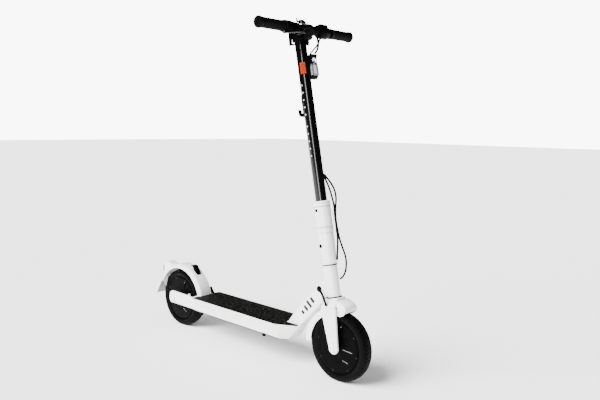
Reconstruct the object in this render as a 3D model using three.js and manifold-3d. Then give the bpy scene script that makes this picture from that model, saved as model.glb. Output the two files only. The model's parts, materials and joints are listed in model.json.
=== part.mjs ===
// Electric kick scooter. Millimetres, +Z up, +X the way it rides, +Y the rider's left.
import * as THREE from 'three';
import { mergeVertices } from 'three/addons/utils/BufferGeometryUtils.js';
import Module from 'manifold-3d';

const wasm = await Module();
wasm.setup();

// ---- overall sizes -------------------------------------------------------------------------
const wheelbase = 923;
const tyreRadius = 127;
const tyreHalfWidth = 26.5;
const lean = THREE.MathUtils.degToRad(11.6); // head axis, back from upright
const gap = 0.3; // between faces that touch
const running = 0.4; // round a shaft that turns

// ---- wheels --------------------------------------------------------------------------------
const tyreWall = 32.2;
const hubRadius = tyreRadius - tyreWall;
const beadRadius = hubRadius - 8.8;
const beadHalfWidth = tyreHalfWidth - 9.5;
const hubHalfWidth = tyreHalfWidth - 4.7;
const axleRadius = 6;
const shoulderRadius = axleRadius + 2; // axle inside the hub
const axleBore = shoulderRadius + running;
const drumRadius = 46;
const drumFloor = 14; // rear hub's left face inside the drum

// ---- front fender and fork, heights along the head axis from the front axle -----------------
const fenderOuter = tyreRadius + 14.5;
const fenderSkirt = tyreRadius - 9;
const fenderWall = 3;
const fenderHalfWidth = tyreHalfWidth + 2.5 + fenderWall;
const legInner = fenderHalfWidth + 2;
const legThickness = 11;
const legOuter = legInner + legThickness;
const legEndRadius = 20.5;
const legTopHalf = 34;
const bossHalfWidth = legInner - 5; // hub's middle, between the axle's collars
const crownBottom = fenderOuter + gap;
const crownHeight = 33.9;
const crownTop = crownBottom + crownHeight;
const crownHalfDepth = 33;
const crownNeck = 27; // half width at the crown's top
const crownShoulder = 26; // from the crown's top down to its full width

// ---- head ----------------------------------------------------------------------------------
const steererRadius = 15;
const headRadius = 25.7;
const headWall = 4.7;
const headLength = 113.5;
const ringRadius = headRadius + 2.6;
const ringThickness = 3.2;
const lowerRing = crownTop + gap;
const headBottom = lowerRing + ringThickness + gap;
const headTop = headBottom + headLength;
const upperRing = headTop + gap;
const armHalfWidth = 22;
const armWall = 4;

// ---- fold joint ----------------------------------------------------------------------------
const baseRadius = 28;
const baseLength = 112.9;
const baseBottom = upperRing + ringThickness + gap;
const baseTop = baseBottom + baseLength;
const foldAt = baseTop - 45.7;
const foldBehind = 9; // pivot behind the head axis
const tongueHalfWidth = 14;
const tongueRadius = 17;
const boltRadius = 5;
const boltHeadRadius = 7.5;
const boltEnd = baseRadius - 2;
const boltHeadInner = boltEnd - 4;
const knuckleHeight = 14.8;
const knuckleTop = baseTop + knuckleHeight;

// ---- stem and lock sleeve ------------------------------------------------------------------
const stemRadius = 21.1;
const stemWall = 3;
const stemLength = 684.2;
const stemBottom = knuckleTop + gap;
const stemTop = stemBottom + stemLength;
const sleeveLength = 100;
const sleeveWall = 8.5;
const collarRadius = stemRadius + gap + sleeveWall;
const buttonAt = stemBottom + 68;
const buttonBack = 5; // behind the head axis
const buttonRadius = 6.3;

// ---- bar -----------------------------------------------------------------------------------
const barAhead = 39;
const barAt = stemTop + 31;
const barRadius = 15.9;
const barEndRadius = 11.1;
const barHalfLength = 239;
const clampHalfWidth = 20;
const gripWall = 5.7;
const gripRadius = barEndRadius + gap + gripWall;
const gripInner = 125;
const perchRoom = barRadius + 0.6;
const leverAhead = barAhead + 29;
const leverY = -58;
const leverAt = barAt - 20;
const pinRadius = 3;
const throttleInner = -70;
const throttleOuter = -120;
const throttleRadius = 22;
const bellTilt = THREE.MathUtils.degToRad(36); // from straight up towards the front
const bellY = -36;
const domeRadius = 15;
const unitInner = 58;
const unitOuter = 112;
const unitRadius = 23.5;

// ---- headlight, reflectors, bag hook --------------------------------------------------------
const lightHeight = 83;
const lightHigh = stemTop - 64;
const lightLow = lightHigh - lightHeight;
const lightHalf = 16;
const lightBack = stemRadius + 8.9;
const lightFront = stemRadius + 31.9;
const lensInset = 3; // lens pocket's wall
const reflectorHalf = 10.5;
const reflectorLow = lightLow + 24;
const reflectorHigh = reflectorLow + 41;
const reflectorTurn = THREE.MathUtils.degToRad(54);
const hookTop = stemTop - 191;

// ---- deck ----------------------------------------------------------------------------------
const deckTop = tyreRadius + 36;
const deckDepth = 59;
const deckBottom = deckTop - deckDepth;
const keelTop = deckTop - 29;
const deckHalfWidth = 75;
const keelHalfWidth = 60;
const deckRear = tyreRadius + 23;
const lipLength = 18;
const lipThickness = 5;
const noseTopX = wheelbase - tyreRadius - 55; // front face at the deck's top, clear of the fender
const noseSlope = THREE.MathUtils.degToRad(51.3);
const noseShoulder = noseTopX - 88; // where the corner facets start
const noseHalfWidth = 28;
const wallThickness = 4;
const pocketFront = noseTopX - 101;
const pocketHalfWidth = keelHalfWidth - 10;
const coverThickness = 3.7;
const coverHalfWidth = keelHalfWidth - 8;
const coverTop = deckBottom - gap;
const matThickness = 3;
const matBottom = deckTop + gap;
const matTop = matBottom + matThickness;
const controllerLength = 62;

// ---- rear fender, arms, light --------------------------------------------------------------
const mudCentre = 8; // rear fender's centre, ahead of the axle
const mudRadius = tyreRadius + 28;
const mudSkirt = tyreRadius + 11;
const mudHalfWidth = tyreHalfWidth + 9.5;
const mudTilt = THREE.MathUtils.degToRad(26); // its rear edge, from level
const housingHalf = 21;
const housingFace = [[56.5, 11.7], [45, 38.7]]; // see aroundFender
const clipHalf = 11;
const plateHalf = 25;
const plateLength = 84;
const plateThickness = 3;
const rearInner = mudHalfWidth + 10;
const rearThickness = 12;

// ---- charge port cap and kickstand ----------------------------------------------------------
const capRadius = 8;
const capX = noseTopX - 8;
const capZ = deckTop + 18;
const standX = 420;
const standY = coverHalfWidth;
const standZ = deckBottom - 14;
const standLength = 92;
const standHalf = 3.5;
const cableRadius = 2.6;
const motorCableRadius = 3.3;

// ---- materials -----------------------------------------------------------------------------
function material(color, roughness, metalness = 0) {
  return new THREE.MeshStandardMaterial({ color, roughness, metalness });
}
const white = material(0xeeeeec, 0.3);
const glossBlack = material(0x0b0b0c, 0.2);
const satinBlack = material(0x141415, 0.55);
const rubber = material(0x121212, 0.85);
const steel = material(0xb5b7ba, 0.35, 1);
const alloy = material(0xc6c8cb, 0.4, 1);
const amber = material(0xd2481a, 0.25);
const red = material(0x7c1010, 0.25);
const clear = material(0xdfe6ea, 0.1);
const greyPlate = material(0x9ba2a8, 0.45);
const batteryBlue = material(0x27506e, 0.5);
const boardGrey = material(0x4a4d50, 0.5, 0.6);

// ---- geometry helpers ----------------------------------------------------------------------
const facets = 36;

function weld(geometry) {
  const bare = geometry.index ? geometry.clone() : mergeVertices(geometry);
  bare.deleteAttribute('normal');
  bare.deleteAttribute('uv');
  const welded = mergeVertices(bare, 1e-3);
  const kept = [];
  const index = welded.index.array;
  for (let i = 0; i < index.length; i += 3) {
    const [a, b, c] = [index[i], index[i + 1], index[i + 2]];
    if (a !== b && b !== c && c !== a) kept.push(a, b, c);
  }
  welded.setIndex(kept);
  if (volume(welded) < 0) {
    for (let i = 0; i < kept.length; i += 3) {
      [kept[i], kept[i + 1]] = [kept[i + 1], kept[i]];
    }
    welded.setIndex(kept);
  }
  return welded;
}

function volume(geometry) {
  const corners = [new THREE.Vector3(), new THREE.Vector3(), new THREE.Vector3()];
  const place = geometry.attributes.position;
  const index = geometry.index.array;
  let sum = 0;
  for (let i = 0; i < index.length; i += 3) {
    corners.forEach((corner, k) => corner.fromBufferAttribute(place, index[i + k]));
    sum += corners[0].dot(corners[1].clone().cross(corners[2])) / 6;
  }
  return sum;
}

function toManifold(geometry) {
  const welded = weld(geometry);
  const vertProperties = new Float32Array(welded.attributes.position.array);
  const triVerts = new Uint32Array(welded.index.array);
  return new wasm.Manifold(new wasm.Mesh({ numProp: 3, vertProperties, triVerts }));
}

function fromManifold(manifold) {
  const mesh = manifold.getMesh();
  const geometry = new THREE.BufferGeometry();
  geometry.setAttribute('position', new THREE.BufferAttribute(mesh.vertProperties, 3));
  geometry.setIndex(new THREE.BufferAttribute(mesh.triVerts, 1));
  return geometry;
}

function cut(geometry, ...tools) {
  let body = toManifold(geometry);
  for (const tool of tools) body = body.subtract(toManifold(tool));
  return fromManifold(body);
}

function join(geometry, ...others) {
  let body = toManifold(geometry);
  for (const other of others) body = body.add(toManifold(other));
  return fromManifold(body);
}

function outline(points) {
  return new THREE.Shape(points.map(([a, b]) => new THREE.Vector2(a, b)));
}

// A shape pushed through a depth, its outer size kept when its edges are rounded by `edge`.
function pushed(shape, depth, edge = 0) {
  return new THREE.ExtrudeGeometry(shape, {
    depth: depth - 2 * edge,
    bevelEnabled: edge > 0,
    bevelThickness: edge,
    bevelSize: edge,
    bevelOffset: -edge,
    bevelSegments: 1,
    curveSegments: 10,
  }).translate(0, 0, edge);
}

// shape in X and Z, from y = low to y = high
function alongY(shape, low, high, edge = 0) {
  return pushed(shape, high - low, edge).rotateX(Math.PI / 2).translate(0, high, 0);
}

// shape in Y and Z, from x = low to x = high
function alongX(shape, low, high, edge = 0) {
  const turn = new THREE.Matrix4().set(0, 0, 1, 0, 1, 0, 0, 0, 0, 1, 0, 0, 0, 0, 0, 1);
  return pushed(shape, high - low, edge).applyMatrix4(turn).translate(low, 0, 0);
}

// shape in X and Y, from z = low to z = high
function alongZ(shape, low, high, edge = 0) {
  return pushed(shape, high - low, edge).translate(0, 0, low);
}

function block(x0, x1, y0, y1, z0, z1) {
  const box = new THREE.BoxGeometry(x1 - x0, y1 - y0, z1 - z0);
  return box.translate((x0 + x1) / 2, (y0 + y1) / 2, (z0 + z1) / 2);
}

// profile of [radius, height] pairs turned about Y
function turnedY(profile, segments = facets) {
  return new THREE.LatheGeometry(profile.map(([r, h]) => new THREE.Vector2(r, h)), segments);
}

// the same about Z
function turnedZ(profile, segments = facets) {
  return turnedY(profile, segments).rotateX(Math.PI / 2);
}

function rodY(radius, low, high, x = 0, z = 0, segments = facets) {
  return turnedY([[0, low], [radius, low], [radius, high], [0, high]], segments).translate(x, 0, z);
}

function rodZ(radius, low, high, segments = facets) {
  return turnedZ([[0, low], [radius, low], [radius, high], [0, high]], segments);
}

function rodX(radius, low, high, y, z) {
  return rodZ(radius, low, high, 20).rotateY(Math.PI / 2).translate(0, y, z);
}

function ringZ(inner, outer, low, high) {
  return turnedZ([[inner, low], [outer, low], [outer, high], [inner, high], [inner, low]]);
}

function ringY(inner, outer, low, high, x, z) {
  return turnedY([[inner, low], [outer, low], [outer, high], [inner, high], [inner, low]]).translate(x, 0, z);
}

function cord(points, radius, steps, sides = 8) {
  const path = new THREE.CatmullRomCurve3(points.map(([x, y, z]) => new THREE.Vector3(x, y, z)));
  const ring = [];
  for (let i = 0; i < sides; i += 1) {
    const turn = (2 * Math.PI * i) / sides;
    ring.push([radius * Math.cos(turn), radius * Math.sin(turn)]);
  }
  return new THREE.ExtrudeGeometry(outline(ring), { steps, bevelEnabled: false, extrudePath: path });
}

function node(parent, name, geometry, look) {
  const mesh = new THREE.Mesh(weld(geometry), look);
  mesh.name = name;
  parent.add(mesh);
  return mesh;
}

// low and high Y of a slab between two distances from the middle, on one side
function slab(side, inner, outer) {
  return side > 0 ? [inner, outer] : [-outer, -inner];
}

const scooter = new THREE.Group();
const ground = new THREE.Group(); // origin under the rear axle
scooter.add(ground);
const steering = new THREE.Group(); // origin at the front axle, Z up the head axis
steering.position.set(wheelbase, 0, tyreRadius);
steering.rotation.y = -lean;
ground.add(steering);
const rearWheel = new THREE.Group(); // origin at the rear axle
rearWheel.position.z = tyreRadius;
ground.add(rearWheel);

// ---- deck ----------------------------------------------------------------------------------
// Everything ahead of the plane through three points, as a tool to cut with.
function beyondPlane(a, b, c) {
  const side = new THREE.Vector3().subVectors(b, a);
  const normal = side.clone().cross(new THREE.Vector3().subVectors(c, a)).normalize();
  if (normal.x < 0) normal.negate();
  const size = 400;
  const tool = new THREE.BoxGeometry(size, size * 2, size * 2).translate(size / 2, 0, 0);
  const turn = new THREE.Quaternion().setFromUnitVectors(new THREE.Vector3(1, 0, 0), normal);
  return tool.applyQuaternion(turn).translate(a.x, a.y, a.z);
}

function noseX(z) {
  return noseTopX + (z - deckTop) / Math.tan(noseSlope);
}

function cornerFacet(side) {
  return beyondPlane(
    new THREE.Vector3(noseShoulder, side * deckHalfWidth, deckTop),
    new THREE.Vector3(noseX(deckTop) - 10, side * noseHalfWidth, deckTop),
    new THREE.Vector3(noseX(deckBottom) - 2, side * (noseHalfWidth + 10), deckBottom),
  );
}

function deckSection() {
  const half = [
    [deckHalfWidth, deckTop],
    [deckHalfWidth, deckTop - 4],
    [keelHalfWidth, keelTop],
    [keelHalfWidth, deckBottom + 6],
    [keelHalfWidth - 6, deckBottom],
  ];
  const other = half.map(([y, z]) => [-y, z]).reverse();
  return outline([...half, ...other]);
}

// the tongue of the deck's top that reaches back under the rear fender
function deckLip() {
  const rear = deckRear - lipLength;
  const half = pocketHalfWidth + 2;
  const wide = half + 14;
  const shape = outline([
    [deckRear + 2, -wide],
    [deckRear + 2, wide],
    [deckRear - 4, wide],
    [rear, half],
    [rear, -half],
    [deckRear - 4, -wide],
  ]);
  return alongZ(shape, deckTop - lipThickness, deckTop);
}

function deckFrame() {
  const bar = alongX(deckSection(), deckRear, noseTopX + 20);
  const ahead = beyondPlane(
    new THREE.Vector3(noseTopX, 0, deckTop),
    new THREE.Vector3(noseTopX, 10, deckTop),
    new THREE.Vector3(noseX(deckBottom), 0, deckBottom),
  );
  const [low, high] = [deckBottom - 10, deckTop - wallThickness];
  const pocket = block(deckRear + 25, pocketFront, -pocketHalfWidth, pocketHalfWidth, low, high);
  return cut(join(bar, deckLip()), ahead, cornerFacet(1), cornerFacet(-1), pocket);
}

// the mat starts clear of the rear fender's foot and goes round the neck arm's
function matOutline() {
  const fenderFoot = mudCentre + Math.sqrt(mudRadius ** 2 - (deckTop - tyreRadius) ** 2);
  const rearX = fenderFoot + 1;
  const frontX = noseTopX - 8;
  const edge = deckHalfWidth - 0.6;
  const arm = armHalfWidth + 0.8;
  const half = [
    [rearX, mudHalfWidth + 1],
    [deckRear + 6, mudHalfWidth + 1],
    [deckRear + 6, edge],
    [noseShoulder + 1, edge],
    [frontX, noseHalfWidth + 3],
    [frontX, arm],
    [armFoot() - 1, arm],
  ];
  const other = half.map(([x, y]) => [x, -y]).reverse();
  return outline([...half, ...other]);
}

function bottomCover() {
  const rear = deckRear + 8;
  const shoulder = noseX(deckBottom) - 42;
  const front = noseX(deckBottom) - 6;
  const frontHalf = coverHalfWidth - 18;
  const half = [
    [rear, coverHalfWidth],
    [shoulder, coverHalfWidth],
    [front, frontHalf],
  ];
  const other = half.map(([x, y]) => [x, -y]).reverse();
  return alongZ(outline([...half, ...other]), coverTop - coverThickness, coverTop, 1);
}

function batteryPack() {
  const half = pocketHalfWidth - 5;
  const front = pocketFront - controllerLength - 18;
  return block(deckRear + 40, front, -half, half, coverTop + gap, deckTop - wallThickness - 6);
}

function controller() {
  const half = pocketHalfWidth - 12;
  const front = pocketFront - 6;
  return block(front - controllerLength, front, -half, half, coverTop + gap, deckTop - wallThickness - 14);
}

node(ground, 'deck_frame', deckFrame(), white);
node(ground, 'bottom_cover', bottomCover(), satinBlack);
node(ground, 'battery_pack', batteryPack(), batteryBlue);
node(ground, 'controller', controller(), boardGrey);
node(ground, 'deck_mat', alongZ(matOutline(), matBottom, matTop, 0.8), rubber);

// ---- neck arm and head tube ----------------------------------------------------------------
function armFoot() {
  return noseTopX - 73;
}

function headPoint(ahead, up) {
  return [
    wheelbase + ahead * Math.cos(lean) - up * Math.sin(lean),
    tyreRadius + ahead * Math.sin(lean) + up * Math.cos(lean),
  ];
}

function inHeadFrame(geometry) {
  return geometry.rotateY(-lean).translate(wheelbase, 0, tyreRadius);
}

function armOutline(inset) {
  const low = deckTop + gap - (inset > 0 ? 20 : 0);
  const [frontX, frontZ] = headPoint(-10, headBottom + 4);
  const [backX, backZ] = headPoint(-10, headBottom + 76);
  return outline([
    [noseX(low) - inset * 1.3, low],
    [frontX - inset * 0.8, frontZ + inset * 0.7],
    [backX, backZ - inset * 1.2],
    [backX - 26 + inset * 0.8, backZ - 27 - inset * 0.7],
    [armFoot() + 39 + inset * 0.8, deckTop + 43 - inset * 0.7],
    [armFoot() + 22 + inset, deckTop + 20 - inset],
    [armFoot() + 12 + inset, deckTop + 7 - inset],
    [armFoot() + inset * 3, low],
  ]);
}

// the space that the fork crown's corners sweep as it steers
function crownRoom() {
  const spare = 0.8;
  const wide = Math.hypot(crownHalfDepth, legOuter - 2) + spare;
  const narrow = Math.hypot(crownHalfDepth, crownNeck) + spare;
  const shoulder = crownTop - crownShoulder + spare;
  return inHeadFrame(turnedZ([
    [0, shoulder - 50],
    [wide, shoulder - 50],
    [wide, shoulder],
    [narrow, crownTop - 9 + spare],
    [narrow, headBottom],
    [0, headBottom],
  ]));
}

function neckArm() {
  const shell = alongY(armOutline(0), -armHalfWidth, armHalfWidth, 3);
  const inside = alongY(armOutline(armWall), armWall - armHalfWidth, armHalfWidth - armWall);
  const tube = inHeadFrame(rodZ(headRadius + gap, headBottom - 60, headTop + 60));
  return cut(shell, inside, tube, crownRoom());
}

function headRing(low) {
  return ringZ(steererRadius + running, ringRadius, low, low + ringThickness);
}

node(ground, 'neck_arm', neckArm(), white);
node(steering, 'head_tube', ringZ(headRadius - headWall, headRadius, headBottom, headTop), white);
node(steering, 'lower_bearing', headRing(lowerRing), satinBlack);
node(steering, 'upper_bearing', headRing(upperRing), satinBlack);

// ---- wheels --------------------------------------------------------------------------------
function mirrored(half) {
  return [...half, ...half.map(([r, y]) => [r, -y]).reverse()];
}

function tyre() {
  const flat = 9; // half the flat on the tread
  const side = mirrored([
    [beadRadius + gap, 0.5 - beadHalfWidth],
    [hubRadius + gap + 0.1, -beadHalfWidth - 0.5],
    [hubRadius + 3, -tyreHalfWidth + 4.5],
    [hubRadius + 10, -tyreHalfWidth + 0.8],
    [hubRadius + 17, -tyreHalfWidth],
    [tyreRadius - 8, -tyreHalfWidth + 2.5],
    [tyreRadius - 2.5, -tyreHalfWidth + 9],
    [tyreRadius, -flat],
  ]);
  return turnedY([...side, side[0]], 48);
}

// the hub's right side, from its bore out to the rim
const hubSide = [
  [axleBore, -bossHalfWidth],
  [axleBore + 6.6, -bossHalfWidth],
  [axleBore + 9.6, -hubHalfWidth - 2],
  [34, -hubHalfWidth],
  [hubRadius - 7, -hubHalfWidth],
  [hubRadius, -hubHalfWidth + 1.4],
  [hubRadius, -beadHalfWidth - 1.2],
  [beadRadius, -beadHalfWidth],
];

function frontHub() {
  return turnedY([...mirrored(hubSide), hubSide[0]], 40);
}

function rearHub() {
  const left = [
    [beadRadius, beadHalfWidth],
    [hubRadius, beadHalfWidth + 1.2],
    [hubRadius, hubHalfWidth - 1.4],
    [hubRadius - 7, hubHalfWidth],
    [drumRadius, hubHalfWidth],
    [drumRadius, drumFloor],
    [axleBore, drumFloor],
  ];
  return turnedY([...hubSide, ...left, hubSide[0]], 40);
}

// from `-end` to `end`, with a collar on each side of the hub that reaches out to `collarTo`
function axle(leftCollarFrom, collarTo, end) {
  const collar = 11;
  const rightCollarFrom = -bossHalfWidth - gap;
  return turnedY([
    [0, -end],
    [axleRadius, -end],
    [axleRadius, -collarTo],
    [collar, -collarTo],
    [collar, rightCollarFrom],
    [shoulderRadius, rightCollarFrom],
    [shoulderRadius, leftCollarFrom],
    [collar, leftCollarFrom],
    [collar, collarTo],
    [axleRadius, collarTo],
    [axleRadius, end],
    [0, end],
  ], 24);
}

const brakeOuter = hubHalfWidth + 1.5;
const frontAxle = axle(bossHalfWidth + gap, legInner - gap, legOuter - 2);
const rearAxle = axle(brakeOuter + gap, rearInner - gap, rearInner + rearThickness + 6);

// disc that closes the drum, with the lever that the brake cable would pull
function brakePlate() {
  const disc = ringY(axleBore, drumRadius - 0.6, drumFloor + 0.5, brakeOuter, 0, 0);
  const shape = outline([[10, 8], [44, 26], [48, 20], [16, -4]]);
  const lever = alongY(shape, brakeOuter - 0.5, brakeOuter + 6.5);
  return join(disc, cut(lever, rodY(12, -10, 60)));
}

node(steering, 'front_tyre', tyre(), rubber);
node(steering, 'front_hub', frontHub(), satinBlack);
node(steering, 'front_axle', frontAxle, steel);
node(rearWheel, 'rear_tyre', tyre(), rubber);
node(rearWheel, 'rear_hub', rearHub(), satinBlack);
node(rearWheel, 'rear_axle', rearAxle, steel);
node(rearWheel, 'rear_brake', brakePlate(), alloy);

// ---- rear arms, fender, light --------------------------------------------------------------
function rearArm(side) {
  const axle = tyreRadius;
  const spike = deckRear - 48;
  const shape = outline([
    [-38, axle + 4],
    [-32, axle - 14],
    [-24, axle - 19],
    [deckRear - gap, deckBottom + 4],
    [deckRear - gap, deckTop - lipThickness - gap],
    [spike + 6, deckTop - 5],
    [spike, deckTop + 7],
    [spike - 6, deckTop - 3],
    [-20, axle + 35],
    [-32, axle + 28],
  ]);
  const [low, high] = slab(side, rearInner, rearInner + rearThickness);
  const hole = rodY(axleRadius + gap, -80, 80, 0, axle, 20);
  return cut(alongY(shape, low, high, 2), hole);
}
node(ground, 'rear_arm_right', rearArm(-1), white);
node(ground, 'rear_arm_left', rearArm(1), white);

// [degrees from straight up, distance outside the rear fender's skin]; minus degrees are ahead
function aroundFender(list) {
  return list.map(([degrees, out]) => {
    const turn = THREE.MathUtils.degToRad(degrees);
    const radius = mudRadius + out;
    return [mudCentre - radius * Math.sin(turn), tyreRadius + radius * Math.cos(turn)];
  });
}

function fenderRound(radius, skirt, half) {
  const middle = (radius + skirt) / 2;
  return turnedY([
    [0, -half],
    [skirt, -half],
    [middle, -half + 1],
    [radius, -half + 10],
    [radius, half - 10],
    [middle, half - 1],
    [skirt, half],
    [0, half],
  ], 72).translate(mudCentre, 0, tyreRadius);
}

function rearFender() {
  const wide = mudHalfWidth + 24;
  const outer = fenderRound(mudRadius, mudSkirt, mudHalfWidth);
  const inner = fenderRound(mudRadius - fenderWall, mudSkirt - 4, mudHalfWidth - fenderWall);
  const openSides = rodY(mudSkirt, -wide, wide, mudCentre, tyreRadius, 72);
  const shape = aroundFender([
    ...housingFace, [40.6, 40], [36, 30.4], [25.4, -1.1], [42.1, -56.6], [58.3, -16],
  ]);
  const housing = alongY(outline(shape), -housingHalf, housingHalf, 3);
  const underFront = block(mudCentre - 1, 300, -wide, wide, -100, deckTop + gap);
  const behind = block(-300, mudCentre, -wide, wide, -100, tyreRadius + 52);
  const rearEdge = block(-300, mudCentre, -wide, wide, -60, 0).rotateY(mudTilt).translate(0, 0, tyreRadius);
  return cut(join(outer, housing), inner, openSides, rearEdge, underFront, behind);
}
node(ground, 'rear_fender', rearFender(), white);

// hook on the rear fender's top that the folded stem lies on
function fenderClip() {
  const shape = aroundFender([
    [-41, -1.4], [-34.6, 7.5], [-27.4, 20.5], [-24, 20.2], [-18.6, 11], [-19.4, 6.4],
    [-23, 11.8], [-27.7, -0.3], [-31, -11.5],
  ]);
  const seat = rodY(mudRadius + gap, -40, 40, mudCentre, tyreRadius, 72);
  return cut(alongY(outline(shape), -clipHalf, clipHalf, 1.5), seat);
}
node(ground, 'fender_clip', fenderClip(), satinBlack);

function rearLens() {
  const [low, high] = aroundFender(housingFace).map(([x, z]) => new THREE.Vector2(x, z));
  const out = new THREE.Vector2(low.y - high.y, high.x - low.x).normalize();
  const [near, far] = [gap, gap + 4];
  const corners = [[0.12, near], [0.86, near], [0.82, far], [0.16, far]].map(([share, away]) => (
    low.clone().lerp(high, share).addScaledVector(out, away)
  ));
  const half = housingHalf - 4;
  return alongY(outline(corners.map((p) => [p.x, p.y])), -half, half, 0.8);
}
node(ground, 'rear_light_lens', rearLens(), red);

function rearPlate() {
  const hang = new THREE.Vector2(-45, -73).normalize();
  const [[x, z]] = aroundFender([[67.7, 2.8]]);
  const top = new THREE.Vector2(x, z);
  const foot = top.clone().addScaledVector(hang, plateLength);
  const thick = new THREE.Vector2(-hang.y, hang.x).multiplyScalar(plateThickness);
  const corners = [top, foot, foot.clone().sub(thick), top.clone().sub(thick)];
  return alongY(outline(corners.map((p) => [p.x, p.y])), -plateHalf, plateHalf);
}
node(ground, 'rear_plate', rearPlate(), greyPlate);

// ---- charge port cap, motor cable, kickstand ------------------------------------------------
const portCap = rodY(capRadius, armHalfWidth + gap, armHalfWidth + 5, capX, capZ, 20);
node(ground, 'charge_port_cap', portCap, rubber);
// from the neck's right side to the crown's shoulder, by [ahead, left, up] in the head's own directions
function motorCable() {
  const route = [
    [-47.7, -armHalfWidth - 3, crownTop + 34.7],
    [-36.4, -armHalfWidth - 9.7, crownTop + 29.8],
    [-19.2, -crownNeck - 11, crownTop + 14],
    [-8.3, -crownNeck - 14.2, crownTop - 2.5],
    [-3.9, -crownNeck - 13.2, crownTop - 14.6],
  ];
  return cord(route.map(([ahead, left, up]) => {
    const [x, z] = headPoint(ahead, up);
    return [x, left, z];
  }), motorCableRadius, 12);
}
node(ground, 'motor_cable', motorCable(), rubber);

function standBracket() {
  const top = coverTop - coverThickness - gap;
  const body = block(standX - 12, standX + 16, standY - 12, standY + 10, standZ - 7, top);
  const half = standHalf + 3.9;
  const slot = block(standX - 30, standX + 12, standY - half, standY + half, standZ - 20, standZ + 9);
  return cut(body, slot);
}

function standLeg() {
  const shape = outline([
    [standX + 3.4, standZ - 2.9],
    [standX + 3.4, standZ + 2.9],
    [standX - standLength, standZ + standHalf],
    [standX - standLength - 3, standZ],
    [standX - standLength, standZ - standHalf],
  ]);
  return alongY(shape, standY - standHalf, standY + standHalf, 1);
}
node(ground, 'kickstand_bracket', standBracket(), satinBlack);
node(ground, 'kickstand_leg', standLeg(), satinBlack);

// ---- fork ----------------------------------------------------------------------------------
const steererBottom = crownBottom + 12;
const steererTop = baseBottom + 14;
node(steering, 'steering_tube', rodZ(steererRadius, steererBottom, steererTop, 32), steel);

function forkCrown() {
  const half = [
    [crownNeck - 2, crownTop],
    [crownNeck, crownTop - 9],
    [legOuter, crownTop - crownShoulder],
    [legOuter, crownBottom],
  ];
  const other = half.map(([y, z]) => [-y, z]).reverse();
  const body = alongX(outline([...half, ...other]), -crownHalfDepth, crownHalfDepth, 3);
  const bore = rodZ(steererRadius + gap, steererBottom - gap, crownTop + 50, 32);
  return cut(body, bore);
}
node(steering, 'fork_crown', forkCrown(), white);

// a leg with the long round-ended pad over its axle
function forkLeg(side) {
  const shape = new THREE.Shape();
  const top = crownBottom - gap;
  shape.moveTo(-legTopHalf, top);
  shape.lineTo(-legEndRadius, 6);
  shape.absarc(0, 0, legEndRadius, Math.PI, 2 * Math.PI, false);
  shape.lineTo(legEndRadius, 6);
  shape.lineTo(legTopHalf, top);
  shape.closePath();
  const [low, high] = slab(side, legInner, legOuter);
  const plate = alongY(shape, low, high, 2.5);
  const padRadius = 7.5;
  const pill = new THREE.Shape();
  pill.absarc(0, 20, padRadius, 0, Math.PI, false);
  pill.absarc(0, -6, padRadius, Math.PI, 2 * Math.PI, false);
  pill.closePath();
  const [padLow, padHigh] = slab(side, legOuter - 1, legOuter + 2.5);
  const pad = alongY(pill, padLow, padHigh, 1);
  const [holeLow, holeHigh] = slab(side, 0, legOuter - 2 + gap + 0.1);
  const hole = rodY(axleRadius + gap, holeLow, holeHigh, 0, 0, 20);
  return cut(join(plate, pad), hole);
}
node(steering, 'fork_leg_right', forkLeg(-1), white);
node(steering, 'fork_leg_left', forkLeg(1), white);

function frontFender() {
  const shape = new THREE.Shape();
  const rearEnd = THREE.MathUtils.degToRad(170);
  const crownEdge = crownHalfDepth + gap + 0.4;
  shape.absarc(0, 0, fenderOuter, rearEnd, Math.acos(crownEdge / fenderOuter), true);
  shape.lineTo(crownEdge, fenderOuter + 24.5);
  shape.quadraticCurveTo(56, fenderOuter + 16.5, 69, fenderOuter + 1.5);
  shape.lineTo(71, fenderOuter - 7.5);
  shape.lineTo(66, fenderOuter - 20.5);
  shape.lineTo(54, fenderOuter - 27.5);
  shape.absarc(0, 0, fenderSkirt, Math.acos(40 / fenderSkirt), rearEnd, false);
  shape.closePath();
  const hood = alongY(shape, -fenderHalfWidth, fenderHalfWidth);
  const half = fenderHalfWidth - fenderWall;
  const inside = rodY(fenderOuter - fenderWall, -half, half, 0, 0, 60);
  return cut(hood, inside);
}
node(steering, 'front_fender', frontFender(), white);

// ---- fold base, pivot and knuckle ----------------------------------------------------------
// a rod across the fold pivot
function pivotRod(radius, low, high, segments = 24) {
  return rodY(radius, low, high, -foldBehind, foldAt, segments);
}

function foldBase() {
  const post = rodZ(baseRadius, baseBottom, baseTop, 48);
  const socket = rodZ(steererRadius + gap, baseBottom - 1, steererTop + 1, 32);
  const slotFront = tongueRadius - foldBehind + gap + running;
  const slotHalf = tongueHalfWidth + running;
  const [slotFloor, above] = [foldAt - tongueRadius - 1, baseTop + 5];
  const behind = -baseRadius - 5;
  const slot = block(behind, slotFront, -slotHalf, slotHalf, slotFloor, above);
  const swing = pivotRod(baseTop - foldAt, -41, 41, 96); // the top's rear corner, rounded about the pivot
  const corner = cut(block(behind, -foldBehind, -40, 40, foldAt, above), swing);
  const bore = pivotRod(boltRadius + gap, -40, 40);
  const sinks = [-1, 1].map((side) => (
    pivotRod(boltHeadRadius + gap, ...slab(side, boltHeadInner - gap, baseRadius + 12))
  ));
  return cut(post, socket, slot, corner, bore, ...sinks);
}
node(steering, 'fold_base', foldBase(), white);

node(steering, 'fold_pivot_bolt', turnedY([
  [0, -boltEnd],
  [boltHeadRadius, -boltEnd],
  [boltHeadRadius, -boltHeadInner],
  [boltRadius, -boltHeadInner],
  [boltRadius, boltHeadInner],
  [boltHeadRadius, boltHeadInner],
  [boltHeadRadius, boltEnd],
  [0, boltEnd],
], 24).translate(-foldBehind, 0, foldAt), satinBlack);

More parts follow.
